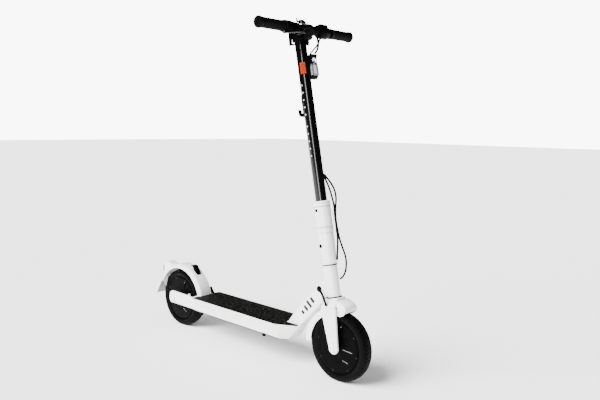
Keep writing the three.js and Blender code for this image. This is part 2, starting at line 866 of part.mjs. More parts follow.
function stemKnuckle() {
  const collar = rodZ(collarRadius - 0.4, baseTop + 2 * gap, knuckleTop, 48);
  const plug = rodZ(stemRadius - stemWall - gap, knuckleTop - 1, knuckleTop + 60, 32);
  const shape = new THREE.Shape();
  shape.moveTo(-foldBehind - tongueRadius, baseTop + 3);
  shape.lineTo(-foldBehind - tongueRadius, foldAt);
  shape.absarc(-foldBehind, foldAt, tongueRadius, Math.PI, 2 * Math.PI, false);
  shape.lineTo(-foldBehind + tongueRadius, baseTop + 3);
  shape.closePath();
  const tongue = alongY(shape, -tongueHalfWidth, tongueHalfWidth);
  return cut(join(collar, plug, tongue), pivotRod(boltRadius + gap, -40, 40));
}
node(steering, 'stem_knuckle', stemKnuckle(), white);

// ---- stem, sleeve, lock button -------------------------------------------------------------
node(steering, 'stem_tube', ringZ(stemRadius - stemWall, stemRadius, stemBottom, stemTop), glossBlack);

// slides up the stem to free the fold; a groove runs round it below its top
function lockSleeve() {
  const top = stemBottom + sleeveLength;
  const inner = stemRadius + gap;
  const grooveDepth = 0.9;
  const body = turnedZ([
    [inner, stemBottom],
    [collarRadius, stemBottom],
    [collarRadius, top - 22],
    [collarRadius - grooveDepth, top - 21],
    [collarRadius - grooveDepth, top - 19],
    [collarRadius, top - 18],
    [collarRadius, top - 2],
    [collarRadius - 2, top],
    [inner, top],
    [inner, stemBottom],
  ], 48);
  return cut(body, rodY(buttonRadius + gap, -40, 0, -buttonBack, buttonAt, 24));
}
const lockButton = rodY(buttonRadius, -collarRadius - 0.6, -stemRadius - 2.5, -buttonBack, buttonAt, 24);
node(steering, 'lock_sleeve', lockSleeve(), white);
node(steering, 'lock_button', lockButton, satinBlack);

// ---- bar, clamp, grips ---------------------------------------------------------------------
// a turned piece on the bar, profile of [radius, Y] pairs
function onBar(profile, segments) {
  return turnedY(profile, segments).translate(barAhead, 0, barAt);
}

function stemClamp() {
  const seat = stemTop + gap;
  const shape = new THREE.Shape();
  const wrap = barRadius + 5.5;
  const back = -stemRadius - 0.5;
  const front = stemRadius + 0.8;
  shape.moveTo(back, seat);
  shape.lineTo(front, seat);
  shape.lineTo(front, seat - 20);
  shape.lineTo(barAhead - 5, seat - 14);
  shape.lineTo(barAhead + wrap * 0.9, barAt - wrap * 0.5);
  shape.absarc(barAhead, barAt, wrap, -0.5, Math.PI / 2, false);
  shape.lineTo(-8, barAt + 13);
  shape.lineTo(back, barAt + 4);
  shape.closePath();
  const body = alongY(shape, -clampHalfWidth, clampHalfWidth, 3);
  return cut(body, rodY(barRadius + gap, -60, 60, barAhead, barAt, 32));
}
node(steering, 'stem_clamp', stemClamp(), satinBlack);

function handlebar() {
  const thick = 46; // half length of the thick middle
  const thin = 62; // where its taper ends
  return onBar([
    [0, -barHalfLength],
    [barEndRadius, -barHalfLength],
    [barEndRadius, -thin],
    [barRadius, -thick],
    [barRadius, thick],
    [barEndRadius, thin],
    [barEndRadius, barHalfLength],
    [0, barHalfLength],
  ], 28);
}
node(steering, 'handlebar', handlebar(), satinBlack);

function grip(side) {
  const inner = barEndRadius + gap;
  const flange = gripRadius + 1.6;
  const profile = [
    [0, barHalfLength + gap],
    [inner, barHalfLength + gap],
    [inner, gripInner],
    [flange, gripInner],
    [flange, gripInner + 4],
    [gripRadius, gripInner + 6],
    [gripRadius, barHalfLength + 1],
    [gripRadius - 2, barHalfLength + 4],
    [0, barHalfLength + 4],
  ];
  return onBar(profile.map(([r, y]) => [r, side * y]), 28);
}
node(steering, 'grip_right', grip(-1), rubber);
node(steering, 'grip_left', grip(1), rubber);

// ---- brake lever, throttle, bell, control unit ---------------------------------------------
function brakePerch() {
  const [inner, outer] = [leverY + 9, leverY - 8];
  const ring = ringY(perchRoom, barRadius + 3.1, outer - 2, inner - 1, barAhead, barAt);
  const shape = outline([
    [barAhead + 9, outer - 1],
    [leverAhead + 7, outer],
    [leverAhead + 8, inner - 1],
    [barAhead + 11, inner],
  ]);
  const ringRoom = rodY(barRadius + 2.1, -80, -40, barAhead, barAt);
  const arm = cut(alongZ(shape, leverAt - 9, leverAt + 14, 1.5), ringRoom);
  const slot = block(leverAhead - 9, leverAhead + 12, -90, -46, leverAt - 7.6, leverAt + 5.6);
  const bore = rodZ(pinRadius + gap, leverAt - 30, leverAt + 30, 16).translate(leverAhead, leverY, 0);
  const barRoom = rodY(perchRoom, -90, -30, barAhead, barAt, 28);
  return cut(join(ring, arm), slot, bore, barRoom);
}
node(steering, 'brake_perch', brakePerch(), satinBlack);

// a blade that droops towards its tip, with its pin; distances from the pin
function brakeLever() {
  const blade = outline([
    [-5, 6],
    [5, 6],
    [7, -20],
    [9, -60],
    [6, -98],
    [10, -104],
    [4, -107],
    [-2, -98],
    [1, -60],
    [-4, -20],
  ]);
  const droop = THREE.MathUtils.degToRad(8.7);
  const body = alongZ(blade, -5, 5, 1.5).rotateX(droop);
  const above = block(-20, 20, -342, 58, 5, 60);
  const pin = rodZ(pinRadius, -8.5, 12, 16);
  return join(cut(body, above), pin).translate(leverAhead, leverY, leverAt);
}
node(steering, 'brake_lever', brakeLever(), steel);

const paddleInner = -77;
const paddleOuter = -89;

function throttleHousing() {
  const inner = barEndRadius + gap;
  const step = throttleOuter + 30;
  const body = onBar([
    [inner, throttleOuter],
    [throttleRadius - 4, throttleOuter],
    [throttleRadius, throttleOuter + 4],
    [throttleRadius, step - 2],
    [throttleRadius - 2, step],
    [throttleRadius - 2, throttleInner],
    [inner, throttleInner],
    [inner, throttleOuter],
  ], 32);
  const [low, high] = [paddleOuter - 1.5, paddleInner + 1.5];
  const mouth = block(barAhead - 16, barAhead + 10, low, high, barAt - 30, barAt - 14);
  return cut(body, mouth);
}

function throttlePaddle() {
  const shape = outline([
    [barAhead - 11, barAt - 15.5],
    [barAhead - 1, barAt - 15.5],
    [barAhead - 5, barAt - 40],
    [barAhead - 8, barAt - 56],
    [barAhead + 5, barAt - 60],
    [barAhead + 3, barAt - 64],
    [barAhead - 15, barAt - 62],
  ]);
  return alongY(shape, paddleOuter, paddleInner, 1.2);
}
node(steering, 'throttle_housing', throttleHousing(), satinBlack);
node(steering, 'throttle_paddle', throttlePaddle(), satinBlack);

function bellDome() {
  const steps = 6;
  const base = barRadius + 3.3;
  const profile = [[0, base], [domeRadius, base]];
  for (let i = 1; i < steps; i += 1) {
    const turn = (Math.PI / 2) * (i / steps);
    profile.push([domeRadius * Math.cos(turn), base + 2 + 12 * Math.sin(turn)]);
  }
  profile.push([0, base + 14]);
  return turnedZ(profile, 28).rotateY(bellTilt).translate(barAhead, bellY, barAt);
}

function bellStriker() {
  const root = bellY - domeRadius - gap - 0.4;
  const foot = barRadius + 4.1;
  const arm = outline([
    [root, foot],
    [root - 6, foot + 13],
    [root - 9, foot + 16],
    [root - 11, foot + 13],
    [root - 7, foot],
  ]);
  return alongX(arm, 0, 5, 1).rotateY(bellTilt * 0.5).translate(barAhead, 0, barAt);
}
node(steering, 'bell_dome', bellDome(), satinBlack);
node(steering, 'bell_striker', bellStriker(), satinBlack);

const controlY = (unitInner + unitOuter) / 2 - 3;
const controlAt = barAt + 2;
const faceBack = barAhead - 20;

function controlUnit() {
  const inner = barRadius + gap;
  const body = onBar([
    [inner, unitInner],
    [unitRadius - 3.5, unitInner],
    [unitRadius, unitInner + 6],
    [unitRadius, unitOuter - 10],
    [unitRadius - 5.5, unitOuter],
    [inner, unitOuter],
    [inner, unitInner],
  ], 32);
  const shape = outline([
    [unitInner + 2, barAt + 10],
    [unitOuter - 8, barAt + 10],
    [unitOuter - 8, barAt + unitRadius + 1.5],
    [unitOuter - 14, barAt + unitRadius + 3.5],
    [unitInner + 6, barAt + unitRadius + 3.5],
    [unitInner + 2, barAt + unitRadius + 0.5],
  ]);
  const face = alongX(shape, faceBack, barAhead + 14, 2);
  const bore = rodY(inner, 40, 130, barAhead, barAt, 32);
  const seat = rodX(5.6, faceBack - 20, faceBack - 0.4, controlY, controlAt);
  return cut(join(body, face), bore, seat);
}
node(steering, 'control_unit', controlUnit(), satinBlack);
node(steering, 'control_button', rodX(5, faceBack - 7, faceBack - 2.4, controlY, controlAt), amber);

// ---- headlight, reflectors, hook -----------------------------------------------------------
function headlightBody() {
  const shape = outline([
    [lightBack, lightLow],
    [lightFront - 7, lightLow - 2],
    [lightFront, lightLow + 8],
    [lightFront + 2, lightHigh - 10],
    [lightFront + 7, lightHigh - 2],
    [lightFront + 5, lightHigh + 2],
    [lightBack, lightHigh + 3],
  ]);
  const shell = alongY(shape, -lightHalf, lightHalf, 2);
  const bracket = block(stemRadius - 7, lightBack + 2, -7, 7, lightLow + 14, lightHigh + 3);
  const half = lightHalf - lensInset;
  const pocket = block(lightFront - 8, lightFront + 20, -half, half, lightLow + 9, lightHigh - 7);
  const tube = rodZ(stemRadius + gap, lightLow - 40, lightHigh + 60, 40);
  return cut(join(shell, bracket), pocket, tube);
}

function headlightLens() {
  const spare = gap + 0.1;
  const half = lightHalf - lensInset - spare;
  const shape = outline([
    [lightFront - 8 + spare, lightLow + 9 + spare],
    [lightFront - 1.5, lightLow + 9 + spare],
    [lightFront + 1, lightHigh - 7 - spare],
    [lightFront - 8 + spare, lightHigh - 7 - spare],
  ]);
  return alongY(shape, -half, half);
}
node(steering, 'headlight_body', headlightBody(), satinBlack);
node(steering, 'headlight_lens', headlightLens(), clear);

function sideReflector(side) {
  const shape = outline([
    [-reflectorHalf, reflectorLow],
    [reflectorHalf, reflectorLow],
    [reflectorHalf, reflectorHigh],
    [-reflectorHalf, reflectorHigh],
  ]);
  const pad = alongX(shape, stemRadius - 5.1, stemRadius + 5.4, 1.2).rotateZ(reflectorTurn * side);
  return cut(pad, rodZ(stemRadius + gap, reflectorLow - 80, reflectorHigh + 80, 40));
}
node(steering, 'side_reflector_right', sideReflector(-1), amber);
node(steering, 'side_reflector_left', sideReflector(1), amber);

function bagHook() {
  const inside = 7 - stemRadius;
  const back = -stemRadius - 5.9;
  const floor = hookTop - 69;
  const shape = outline([
    [inside, hookTop],
    [back + 2, hookTop - 3],
    [back, hookTop - 10],
    [back, floor + 3],
    [back - 11, floor],
    [back - 15, floor + 5],
    [back - 16, floor + 18],
    [back - 22, floor + 18],
    [back - 22, floor + 1],
    [back - 15, floor - 9],
    [back, floor - 12],
    [inside, floor - 12],
  ]);
  const tube = rodZ(stemRadius + gap, hookTop - 120, hookTop + 80, 40);
  return cut(alongY(shape, -7, 7, 1.2), tube);
}
node(steering, 'bag_hook', bagHook(), satinBlack);

// ---- cables --------------------------------------------------------------------------------
// [distance from the head axis, height along it], on a line turned left from straight ahead
function besideStem(turnDegrees, list) {
  const turn = THREE.MathUtils.degToRad(turnDegrees);
  return list.map(([away, up]) => [away * Math.cos(turn), away * Math.sin(turn), up]);
}
const cableOut = collarRadius + 14.1; // where the sleeve holds the cables off the head axis
const exit = stemRadius + 3.1;
const wire = lightHigh + 6.5; // end of the bar's cables, over the headlight
const wireEnd = lightBack + 22;
node(steering, 'bar_cable_brake', cord([
  [barAhead + 27, -46, barAt - 14],
  [barAhead + 35, -38, barAt - 8],
  [barAhead + 41, -22, barAt - 9],
  [barAhead + 40, -6, barAt - 21],
  [barAhead + 37, 8, barAt - 42],
  [wireEnd + 18, 14, wire + 22.5],
  [wireEnd + 8, 13, wire + 6.5],
  [wireEnd, 10, wire],
], cableRadius, 22), rubber);
node(steering, 'bar_cable_electric', cord([
  [barAhead + 19, 54, barAt - 12],
  [barAhead + 27, 44, barAt - 20],
  [barAhead + 29, 30, barAt - 40],
  [wireEnd + 8, 16, wire + 24.5],
  [wireEnd - 7, 5, wire + 8.5],
  [wireEnd - 14, 1, wire],
], cableRadius, 18), rubber);
node(steering, 'stem_cable_brake', cord(besideStem(30, [
  [exit, stemBottom + 192.2],
  [cableOut - 11, stemBottom + 177.2],
  [cableOut + 1, stemBottom + 155.2],
  [cableOut + 9, stemBottom + 130.2],
  [cableOut + 10, stemBottom + 102.2],
  [cableOut + 4, stemBottom + 71.2],
  [cableOut, stemBottom + 40.2],
  [cableOut, stemBottom - 4.8],
]), cableRadius, 24), rubber);
node(steering, 'stem_cable_electric', cord(besideStem(18, [
  [exit, stemBottom + 186.2],
  [exit + 3.8, stemBottom + 172.2],
  [cableOut - 7, stemBottom + 141.2],
  [cableOut - 0.5, stemBottom + 103.2],
  [cableOut + 2, stemBottom + 74.2],
  [cableOut, stemBottom + 40.2],
  [cableOut, stemBottom - 4.8],
]), cableRadius, 22), rubber);
node(steering, 'lower_cable_electric', cord(besideStem(18, [
  [cableOut, stemBottom - 5.2],
  [cableOut - 1, stemBottom - 39.8],
  [baseRadius + 10, baseBottom + 54.2],
  [baseRadius + 5, baseBottom + 28.2],
  [baseRadius + 3, baseBottom + 11.2],
]), cableRadius, 14), rubber);
node(steering, 'lower_cable_brake', cord(besideStem(30, [
  [cableOut, stemBottom - 5.2],
  [cableOut + 3, stemBottom - 39.8],
  [baseRadius + 26, baseBottom + 50.2],
  [baseRadius + 32, baseBottom + 21.2],
  [headRadius + 34.3, headTop - 1],
  [headRadius + 27.3, headTop - 28],
  [headRadius + 15.3, headTop - 47],
  [headRadius + 3.8, headTop - 54],
]), cableRadius, 20), rubber);

// ---- stand it on the ground, centred -------------------------------------------------------
scooter.updateMatrixWorld(true);
const bounds = new THREE.Box3().setFromObject(scooter, true);
const middle = bounds.getCenter(new THREE.Vector3());
ground.position.set(-middle.x, -middle.y, -bounds.min.z);

export default scooter;
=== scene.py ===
"""Electric kick scooter: the finished look, in metres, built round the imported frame."""

import json
import math

import bmesh
import bpy
import numpy as np
from mathutils import Matrix, Vector


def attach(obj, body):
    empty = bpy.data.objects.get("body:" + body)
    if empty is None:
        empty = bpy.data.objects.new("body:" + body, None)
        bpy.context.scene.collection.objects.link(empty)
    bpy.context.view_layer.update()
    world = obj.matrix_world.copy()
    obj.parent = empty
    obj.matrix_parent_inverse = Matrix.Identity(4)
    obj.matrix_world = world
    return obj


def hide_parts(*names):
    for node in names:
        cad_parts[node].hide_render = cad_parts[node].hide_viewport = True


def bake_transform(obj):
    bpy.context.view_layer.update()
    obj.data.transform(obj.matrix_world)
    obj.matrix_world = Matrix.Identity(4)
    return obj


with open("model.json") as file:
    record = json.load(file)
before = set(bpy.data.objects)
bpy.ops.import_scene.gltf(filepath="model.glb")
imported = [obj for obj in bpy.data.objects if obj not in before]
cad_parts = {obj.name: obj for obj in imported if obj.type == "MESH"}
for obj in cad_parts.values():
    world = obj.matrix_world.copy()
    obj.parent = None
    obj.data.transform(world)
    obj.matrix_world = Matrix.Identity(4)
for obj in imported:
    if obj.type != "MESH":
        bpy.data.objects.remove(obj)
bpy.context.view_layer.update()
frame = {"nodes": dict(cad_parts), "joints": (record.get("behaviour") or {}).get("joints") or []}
MM = 0.001
JOINTS = {joint["name"]: joint for joint in frame["joints"]}

# ---- the two frames that pieces are drawn in, both in millimetres ---------------------------
steering = JOINTS["steering"]
head_up = Vector(steering["axis"])
head_ahead = Vector((0, 1, 0)).cross(head_up)
HEAD = Matrix((head_ahead, (0, 1, 0), head_up)).transposed().to_4x4()
HEAD.translation = Vector(steering["pos_m"])
HEAD = HEAD @ Matrix.Scale(MM, 4)  # origin at the front axle, Z up the head axis
rear_axle_at = Vector(JOINTS["rear_wheel_spin"]["pos_m"])
GROUND = Matrix.Translation((rear_axle_at.x, 0, 0)) @ Matrix.Scale(MM, 4)  # under the rear axle
ABOUT_Y = Matrix.Rotation(-math.pi / 2, 4, "X")  # local Z becomes Y
ABOUT_X = Matrix.Rotation(math.pi / 2, 4, "Y")  # local Z becomes X
FLIPPED = Matrix.Rotation(math.pi, 4, "X")  # local Z turned over
SIDES = ((-1, "right"), (1, "left"))


def at(x, y, z):
    return Matrix.Translation((x, y, z))


def span(node, place):
    """Lowest and highest corner of a CAD node in one of the frames above, in millimetres."""
    back = place.inverted()
    points = np.array([back @ v.co for v in frame["nodes"][node].data.vertices])
    return points.min(0), points.max(0)


def maths(tree, operation, first, second=None, third=None):
    """A math node over numbers or sockets; its result socket."""
    step = tree.nodes.new("ShaderNodeMath")
    step.operation = operation
    for slot, value in zip(step.inputs, (first, second, third)):
        if isinstance(value, (int, float)):
            slot.default_value = value
        elif value is not None:
            tree.links.new(value, slot)
    return step.outputs[0]


# ---- camera and light ------------------------------------------------------------------------
def make_camera():
    yaw, pitch, roll = math.radians(133.05), math.radians(-6.63), math.radians(0.87)
    eye, sensor_width, lens = (1.8919, -1.72695, 0.90996), 36, 38.34
    flat = math.cos(pitch)
    view = Vector((flat * math.cos(yaw), flat * math.sin(yaw), math.sin(pitch)))
    side = view.cross(Vector((0, 0, 1))).normalized()
    top = side.cross(view)
    right = side * math.cos(roll) + top * math.sin(roll)
    up = top * math.cos(roll) - side * math.sin(roll)
    data = bpy.data.cameras.new("studio_camera")
    data.sensor_width, data.lens = sensor_width, lens
    camera = bpy.data.objects.new("studio_camera", data)
    bpy.context.scene.collection.objects.link(camera)
    turn = Matrix((right, up, -view)).transposed().to_4x4()
    camera.matrix_world = Matrix.Translation(eye) @ turn
    bpy.context.scene.camera = camera


def area_light(name, place, target, size, power):
    """A soft box that shows only in gloss, as the bright line along a tube."""
    data = bpy.data.lights.new(name, "AREA")
    data.shape = "RECTANGLE"
    data.size, data.size_y = size
    data.energy = power
    light = bpy.data.objects.new(name, data)
    bpy.context.scene.collection.objects.link(light)
    light.location = place
    light.rotation_euler = (Vector(target) - Vector(place)).to_track_quat("-Z", "Y").to_euler()
    light.visible_diffuse = False


def make_studio():
    """A white room: bright behind the scooter, dim as a light and almost dark in gloss."""
    world = bpy.data.worlds.new("studio")
    world.use_nodes = True
    tree = world.node_tree
    backdrop = tree.nodes["Background"]
    backdrop.inputs["Color"].default_value = (1, 1, 1, 1)
    rays = tree.nodes.new("ShaderNodeLightPath")
    seen, fill, gloss = 9.0, 0.60, 0.05
    strength = maths(tree, "MULTIPLY_ADD", rays.outputs["Is Camera Ray"], seen - fill, fill)
    strength = maths(tree, "MULTIPLY_ADD", rays.outputs["Is Glossy Ray"], gloss - fill, strength)
    tree.links.new(strength, backdrop.inputs["Strength"])
    bpy.context.scene.world = world
    along, strength, spread = Vector((0.30, 0.95, -0.85)), 15.0, math.radians(44)
    data = bpy.data.lights.new("overhead", "SUN")
    data.energy, data.angle = strength, spread
    overhead = bpy.data.objects.new("overhead", data)
    bpy.context.scene.collection.objects.link(overhead)
    overhead.rotation_euler = along.to_track_quat("-Z", "Y").to_euler()
    overhead.visible_glossy = False
    area_light("tall_strip", (1.56, -2.31, 0.9), (0.38, 0, 0.8), (0.5, 3.6), 130)
    area_light("sky_panel", (0.4, -0.6, 3.0), (0.1, 0, 0.5), (1.0, 0.8), 30)


make_camera()
make_studio()


# ---- effects that several materials share -----------------------------------------------------
def group(name, inputs, outputs):
    """A node group: its tree, and its input and output nodes."""
    tree = bpy.data.node_groups.new(name, "ShaderNodeTree")
    for label, value in inputs.items():
        kind = "NodeSocketFloat" if isinstance(value, (int, float)) else "NodeSocketColor"
        socket = tree.interface.new_socket(label, in_out="INPUT", socket_type=kind)
        socket.default_value = value
    for label, kind in outputs.items():
        tree.interface.new_socket(label, in_out="OUTPUT", socket_type="NodeSocket" + kind)
    return tree, tree.nodes.new("NodeGroupInput"), tree.nodes.new("NodeGroupOutput")


def noise_texture(tree, scale, detail=3):
    """Noise over the piece's own coordinates; its value socket."""
    coordinates = tree.nodes.new("ShaderNodeTexCoord")
    texture = tree.nodes.new("ShaderNodeTexNoise")
    texture.inputs["Detail"].default_value = detail
    tree.links.new(coordinates.outputs["Object"], texture.inputs["Vector"])
    if isinstance(scale, (int, float)):
        texture.inputs["Scale"].default_value = scale
    else:
        tree.links.new(scale, texture.inputs["Scale"])
    return texture.outputs["Fac"]


def grain_group():
    """Fine surface grain: a roughness between two values and a height."""
    inputs = {"Scale": 900.0, "Smoothest": 0.3, "Roughest": 0.5}
    tree, given, out = group("Surface grain", inputs, {"Roughness": "Float", "Height": "Float"})
    fine = noise_texture(tree, given.outputs["Scale"])
    cloudy = noise_texture(tree, 14.0, 4)
    mixed = maths(tree, "MULTIPLY_ADD", fine, 0.35, maths(tree, "MULTIPLY", cloudy, 0.65))
    spread = maths(tree, "SUBTRACT", given.outputs["Roughest"], given.outputs["Smoothest"])
    rough = maths(tree, "MULTIPLY_ADD", mixed, spread, given.outputs["Smoothest"])
    tree.links.new(rough, out.inputs["Roughness"])
    tree.links.new(fine, out.inputs["Height"])
    return tree


def wear_group():
    """Rubbed edges: high where the surface turns sharply outwards, broken up by noise."""
    tree, given, out = group("Edge wear", {"Amount": 0.5}, {"Mask": "Float"})
    shape = tree.nodes.new("ShaderNodeNewGeometry")
    patchy = noise_texture(tree, 60.0, 4)
    edge = maths(tree, "SUBTRACT", shape.outputs["Pointiness"], 0.52)
    edge = maths(tree, "MULTIPLY", edge, 14.0)
    edge = maths(tree, "MULTIPLY", edge, maths(tree, "POWER", patchy, 2.0))
    edge = maths(tree, "MULTIPLY", edge, given.outputs["Amount"])
    tree.links.new(maths(tree, "MINIMUM", maths(tree, "MAXIMUM", edge, 0.0), 1.0), out.inputs["Mask"])
    return tree


def dust_group():
    """Settled dust: on faces that look up, in soft patches."""
    tree, given, out = group("Settled dust", {"Amount": 0.3}, {"Mask": "Float"})
    shape = tree.nodes.new("ShaderNodeNewGeometry")
    split = tree.nodes.new("ShaderNodeSeparateXYZ")
    tree.links.new(shape.outputs["Normal"], split.inputs[0])
    level = maths(tree, "MAXIMUM", split.outputs["Z"], 0.0)
    patchy = noise_texture(tree, 22.0, 5)
    mask = maths(tree, "MULTIPLY", maths(tree, "MULTIPLY", level, patchy), given.outputs["Amount"])
    tree.links.new(mask, out.inputs["Mask"])
    return tree


def tone_group():
    """Slow drift of a colour's brightness over the piece."""
    inputs = {"Color": (1, 1, 1, 1), "Spread": 0.06}
    tree, given, out = group("Tone drift", inputs, {"Color": "Color"})
    wide = noise_texture(tree, 9.0, 3)
    low = maths(tree, "SUBTRACT", 1.0, given.outputs["Spread"])
    factor = maths(tree, "MULTIPLY_ADD", wide, maths(tree, "MULTIPLY", given.outputs["Spread"], 2.0), low)
    scale = tree.nodes.new("ShaderNodeVectorMath")
    scale.operation = "SCALE"
    tree.links.new(given.outputs["Color"], scale.inputs[0])
    tree.links.new(factor, scale.inputs["Scale"])
    tree.links.new(scale.outputs[0], out.inputs["Color"])
    return tree


GRAIN, WEAR, DUST, TONE = grain_group(), wear_group(), dust_group(), tone_group()


def use(tree, effect, **values):
    node = tree.nodes.new("ShaderNodeGroup")
    node.node_tree = effect
    for label, value in values.items():
        node.inputs[label].default_value = value
    return node


def mixed(tree, mask, below, above):
    """One colour over another by a mask; the result socket."""
    mix = tree.nodes.new("ShaderNodeMix")
    mix.data_type = "RGBA"
    tree.links.new(mask, mix.inputs["Factor"])
    for slot, colour in ((mix.inputs["A"], below), (mix.inputs["B"], above)):
        if isinstance(colour, tuple):
            slot.default_value = (*colour, 1)
        else:
            tree.links.new(colour, slot)
    return mix.outputs["Result"]


def finish(name, colour, rough, grain, wear=None, dust=0.0, spread=0.05, lines=None, **shader):
    """A material: its colour, roughness range, grain (scale, depth in mm), wear (amount, colour)
    and dust. `lines` colours the raised lines of a piece that carries a "ridge" attribute."""
    material = bpy.data.materials.new(name)
    material.use_nodes = True
    tree = material.node_tree
    surface = tree.nodes["Principled BSDF"]
    tone = use(tree, TONE, Color=(*colour, 1), Spread=spread).outputs["Color"]
    if lines:
        ridge = tree.nodes.new("ShaderNodeAttribute")
        ridge.attribute_name = "ridge"
        tone = mixed(tree, ridge.outputs["Fac"], tone, lines)
    if wear:
        amount, bare = wear
        tone = mixed(tree, use(tree, WEAR, Amount=amount).outputs["Mask"], tone, bare)
    if dust:
        tone = mixed(tree, use(tree, DUST, Amount=dust).outputs["Mask"], tone, (0.42, 0.40, 0.37))
    tree.links.new(tone, surface.inputs["Base Color"])
    scale, depth = grain
    texture = use(tree, GRAIN, Scale=scale, Smoothest=rough[0], Roughest=rough[1])
    tree.links.new(texture.outputs["Roughness"], surface.inputs["Roughness"])
    bump = tree.nodes.new("ShaderNodeBump")
    bump.inputs["Strength"].default_value = 0.6
    bump.inputs["Distance"].default_value = depth * MM
    tree.links.new(texture.outputs["Height"], bump.inputs["Height"])
    tree.links.new(bump.outputs["Normal"], surface.inputs["Normal"])
    for label, value in shader.items():
        surface.inputs[label.replace("_", " ")].default_value = value
    return material


WHITE = finish("gloss white paint", (0.80, 0.80, 0.79), (0.18, 0.36), (420.0, 0.05),
               (0.25, (0.55, 0.55, 0.54)), 0.06, 0.03, Coat_Weight=0.5, Coat_Roughness=0.10)
BLACK_GLOSS = finish("gloss black paint", (0.0006, 0.0006, 0.0007), (0.12, 0.24), (420.0, 0.02),
                     (0.15, (0.01, 0.01, 0.01)), Specular_IOR_Level=0.35, Coat_Weight=0.15,
                     Coat_Roughness=0.08)
BLACK = finish("satin black moulding", (0.0005, 0.0005, 0.0006), (0.30, 0.48), (1400.0, 0.06),
               (0.2, (0.004, 0.004, 0.004)), 0.0004, Specular_IOR_Level=0.03)
RUBBER = finish("soft rubber", (0.0005, 0.0005, 0.0005), (0.50, 0.70), (1500.0, 0.12),
                (0.3, (0.003, 0.003, 0.003)), 0.0004, Specular_IOR_Level=0.06)
TYRE = finish("tyre rubber", (0.0006, 0.0006, 0.0006), (0.50, 0.72), (1100.0, 0.16),
              (0.5, (0.004, 0.004, 0.0038)), 0.0008, 0.05, Specular_IOR_Level=0.07)
MAT = finish("deck mat rubber", (0.0085, 0.0083, 0.0080), (0.50, 0.74), (1300.0, 0.20),
             (0.3, (0.02, 0.02, 0.02)), 0.008, 0.20, lines=(0.030, 0.029, 0.028), Specular_IOR_Level=0.06)
STEEL = finish("bright steel", (0.56, 0.57, 0.58), (0.22, 0.42), (700.0, 0.04), (0.4, (0.75, 0.75, 0.75)),
               Metallic=1.0)
ALLOY = finish("cast alloy", (0.52, 0.53, 0.55), (0.34, 0.58), (900.0, 0.12), (0.4, (0.72, 0.72, 0.72)),
               0.04, Metallic=1.0)
CHROME = finish("chrome", (0.80, 0.81, 0.82), (0.06, 0.16), (500.0, 0.02), Metallic=1.0)
SILVER = finish("silver trim", (0.22, 0.225, 0.23), (0.24, 0.40), (900.0, 0.04), Metallic=0.35,
                Coat_Weight=0.6)
AMBER = finish("amber reflector", (0.30, 0.022, 0.0016), (0.30, 0.42), (520.0, 0.20), spread=0.10,
               Specular_IOR_Level=0.05)
RED = finish("red lens", (0.050, 0.0016, 0.0012), (0.22, 0.34), (520.0, 0.15), Specular_IOR_Level=0.1)
CLEAR = finish("clear lens", (0.93, 0.95, 0.97), (0.02, 0.08), (300.0, 0.03), spread=0.01,
               Transmission_Weight=1.0, IOR=1.3)
PANEL = finish("white reflector panel", (0.72, 0.74, 0.76), (0.18, 0.34), (620.0, 0.18), Coat_Weight=0.5)
PLATE = finish("blank reflective plate", (0.19, 0.21, 0.22), (0.30, 0.46), (1600.0, 0.06),
               (0.6, (0.35, 0.36, 0.37)), 0.04)
MARK = finish("black marking", (0.006, 0.006, 0.006), (0.36, 0.52), (900.0, 0.03), Specular_IOR_Level=0.3)
# Pale grey: the stem's printed dots, and the painted highlight lines on the hub faces.
PALE_MARK_AND_PAINTED_HIGHLIGHT = finish("pale marking and painted highlight", (0.42, 0.42, 0.43), (0.34, 0.50), (900.0, 0.03))
# Grey: the rear fender brackets' own paint, and painted shade in the lock sleeve's grooves.
GREY_PAINT_AND_GROOVE_SHADE = finish("grey bracket paint and painted groove shade", (0.16, 0.16, 0.16), (0.34, 0.50), (900.0, 0.06),
              (0.4, (0.4, 0.4, 0.4)), 0.04)
WRAP = finish("shrink wrap", (0.03, 0.11, 0.20), (0.30, 0.55), (260.0, 0.30))
CASE = finish("blasted alloy case", (0.30, 0.31, 0.32), (0.42, 0.62), (1800.0, 0.12), Metallic=0.8)


# ---- mesh helpers -----------------------------------------------------------------------------
def piece(name, mesh, material, body, replaces=(), smooth=38):
    """A finished piece of the scooter from a mesh in the row frame."""
    mesh.name = name
    mesh.materials.clear()
    mesh.materials.append(material)
    mesh.shade_smooth()
    mesh.set_sharp_from_angle(angle=math.radians(smooth))
    made = bpy.data.objects.new(name, mesh)
    bpy.context.scene.collection.objects.link(made)
    if body:
        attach(made, body)
    if replaces:
        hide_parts(*replaces)
    return made


def mesh_from(vertices, faces, place):
    mesh = bpy.data.meshes.new("draft")
    mesh.from_pydata([place @ Vector(v) for v in vertices], [], faces)
    box = bmesh.new()
    box.from_mesh(mesh)
    bmesh.ops.recalc_face_normals(box, faces=box.faces)
    box.to_mesh(mesh)
    box.free()
    return mesh


def fillet(points, radius, closed=True, steps=4):
    """A polygon with its corners rounded; an open one keeps its first and last point."""
    most = 0.45  # share of a side that a corner may use
    rounded = []
    for i, (x, y) in enumerate(points):
        if not closed and i in (0, len(points) - 1):
            rounded.append((x, y))
            continue
        corner = Vector((x, y))
        before = Vector(points[i - 1]) - corner
        after = Vector(points[(i + 1) % len(points)]) - corner
        reach = min(radius, most * before.length, most * after.length)
        first = corner + before.normalized() * reach
        last = corner + after.normalized() * reach
        for k in range(steps + 1):
            t = k / steps
            spot = first * (1 - t) ** 2 + corner * 2 * t * (1 - t) + last * t ** 2
            rounded.append((spot.x, spot.y))
    return rounded


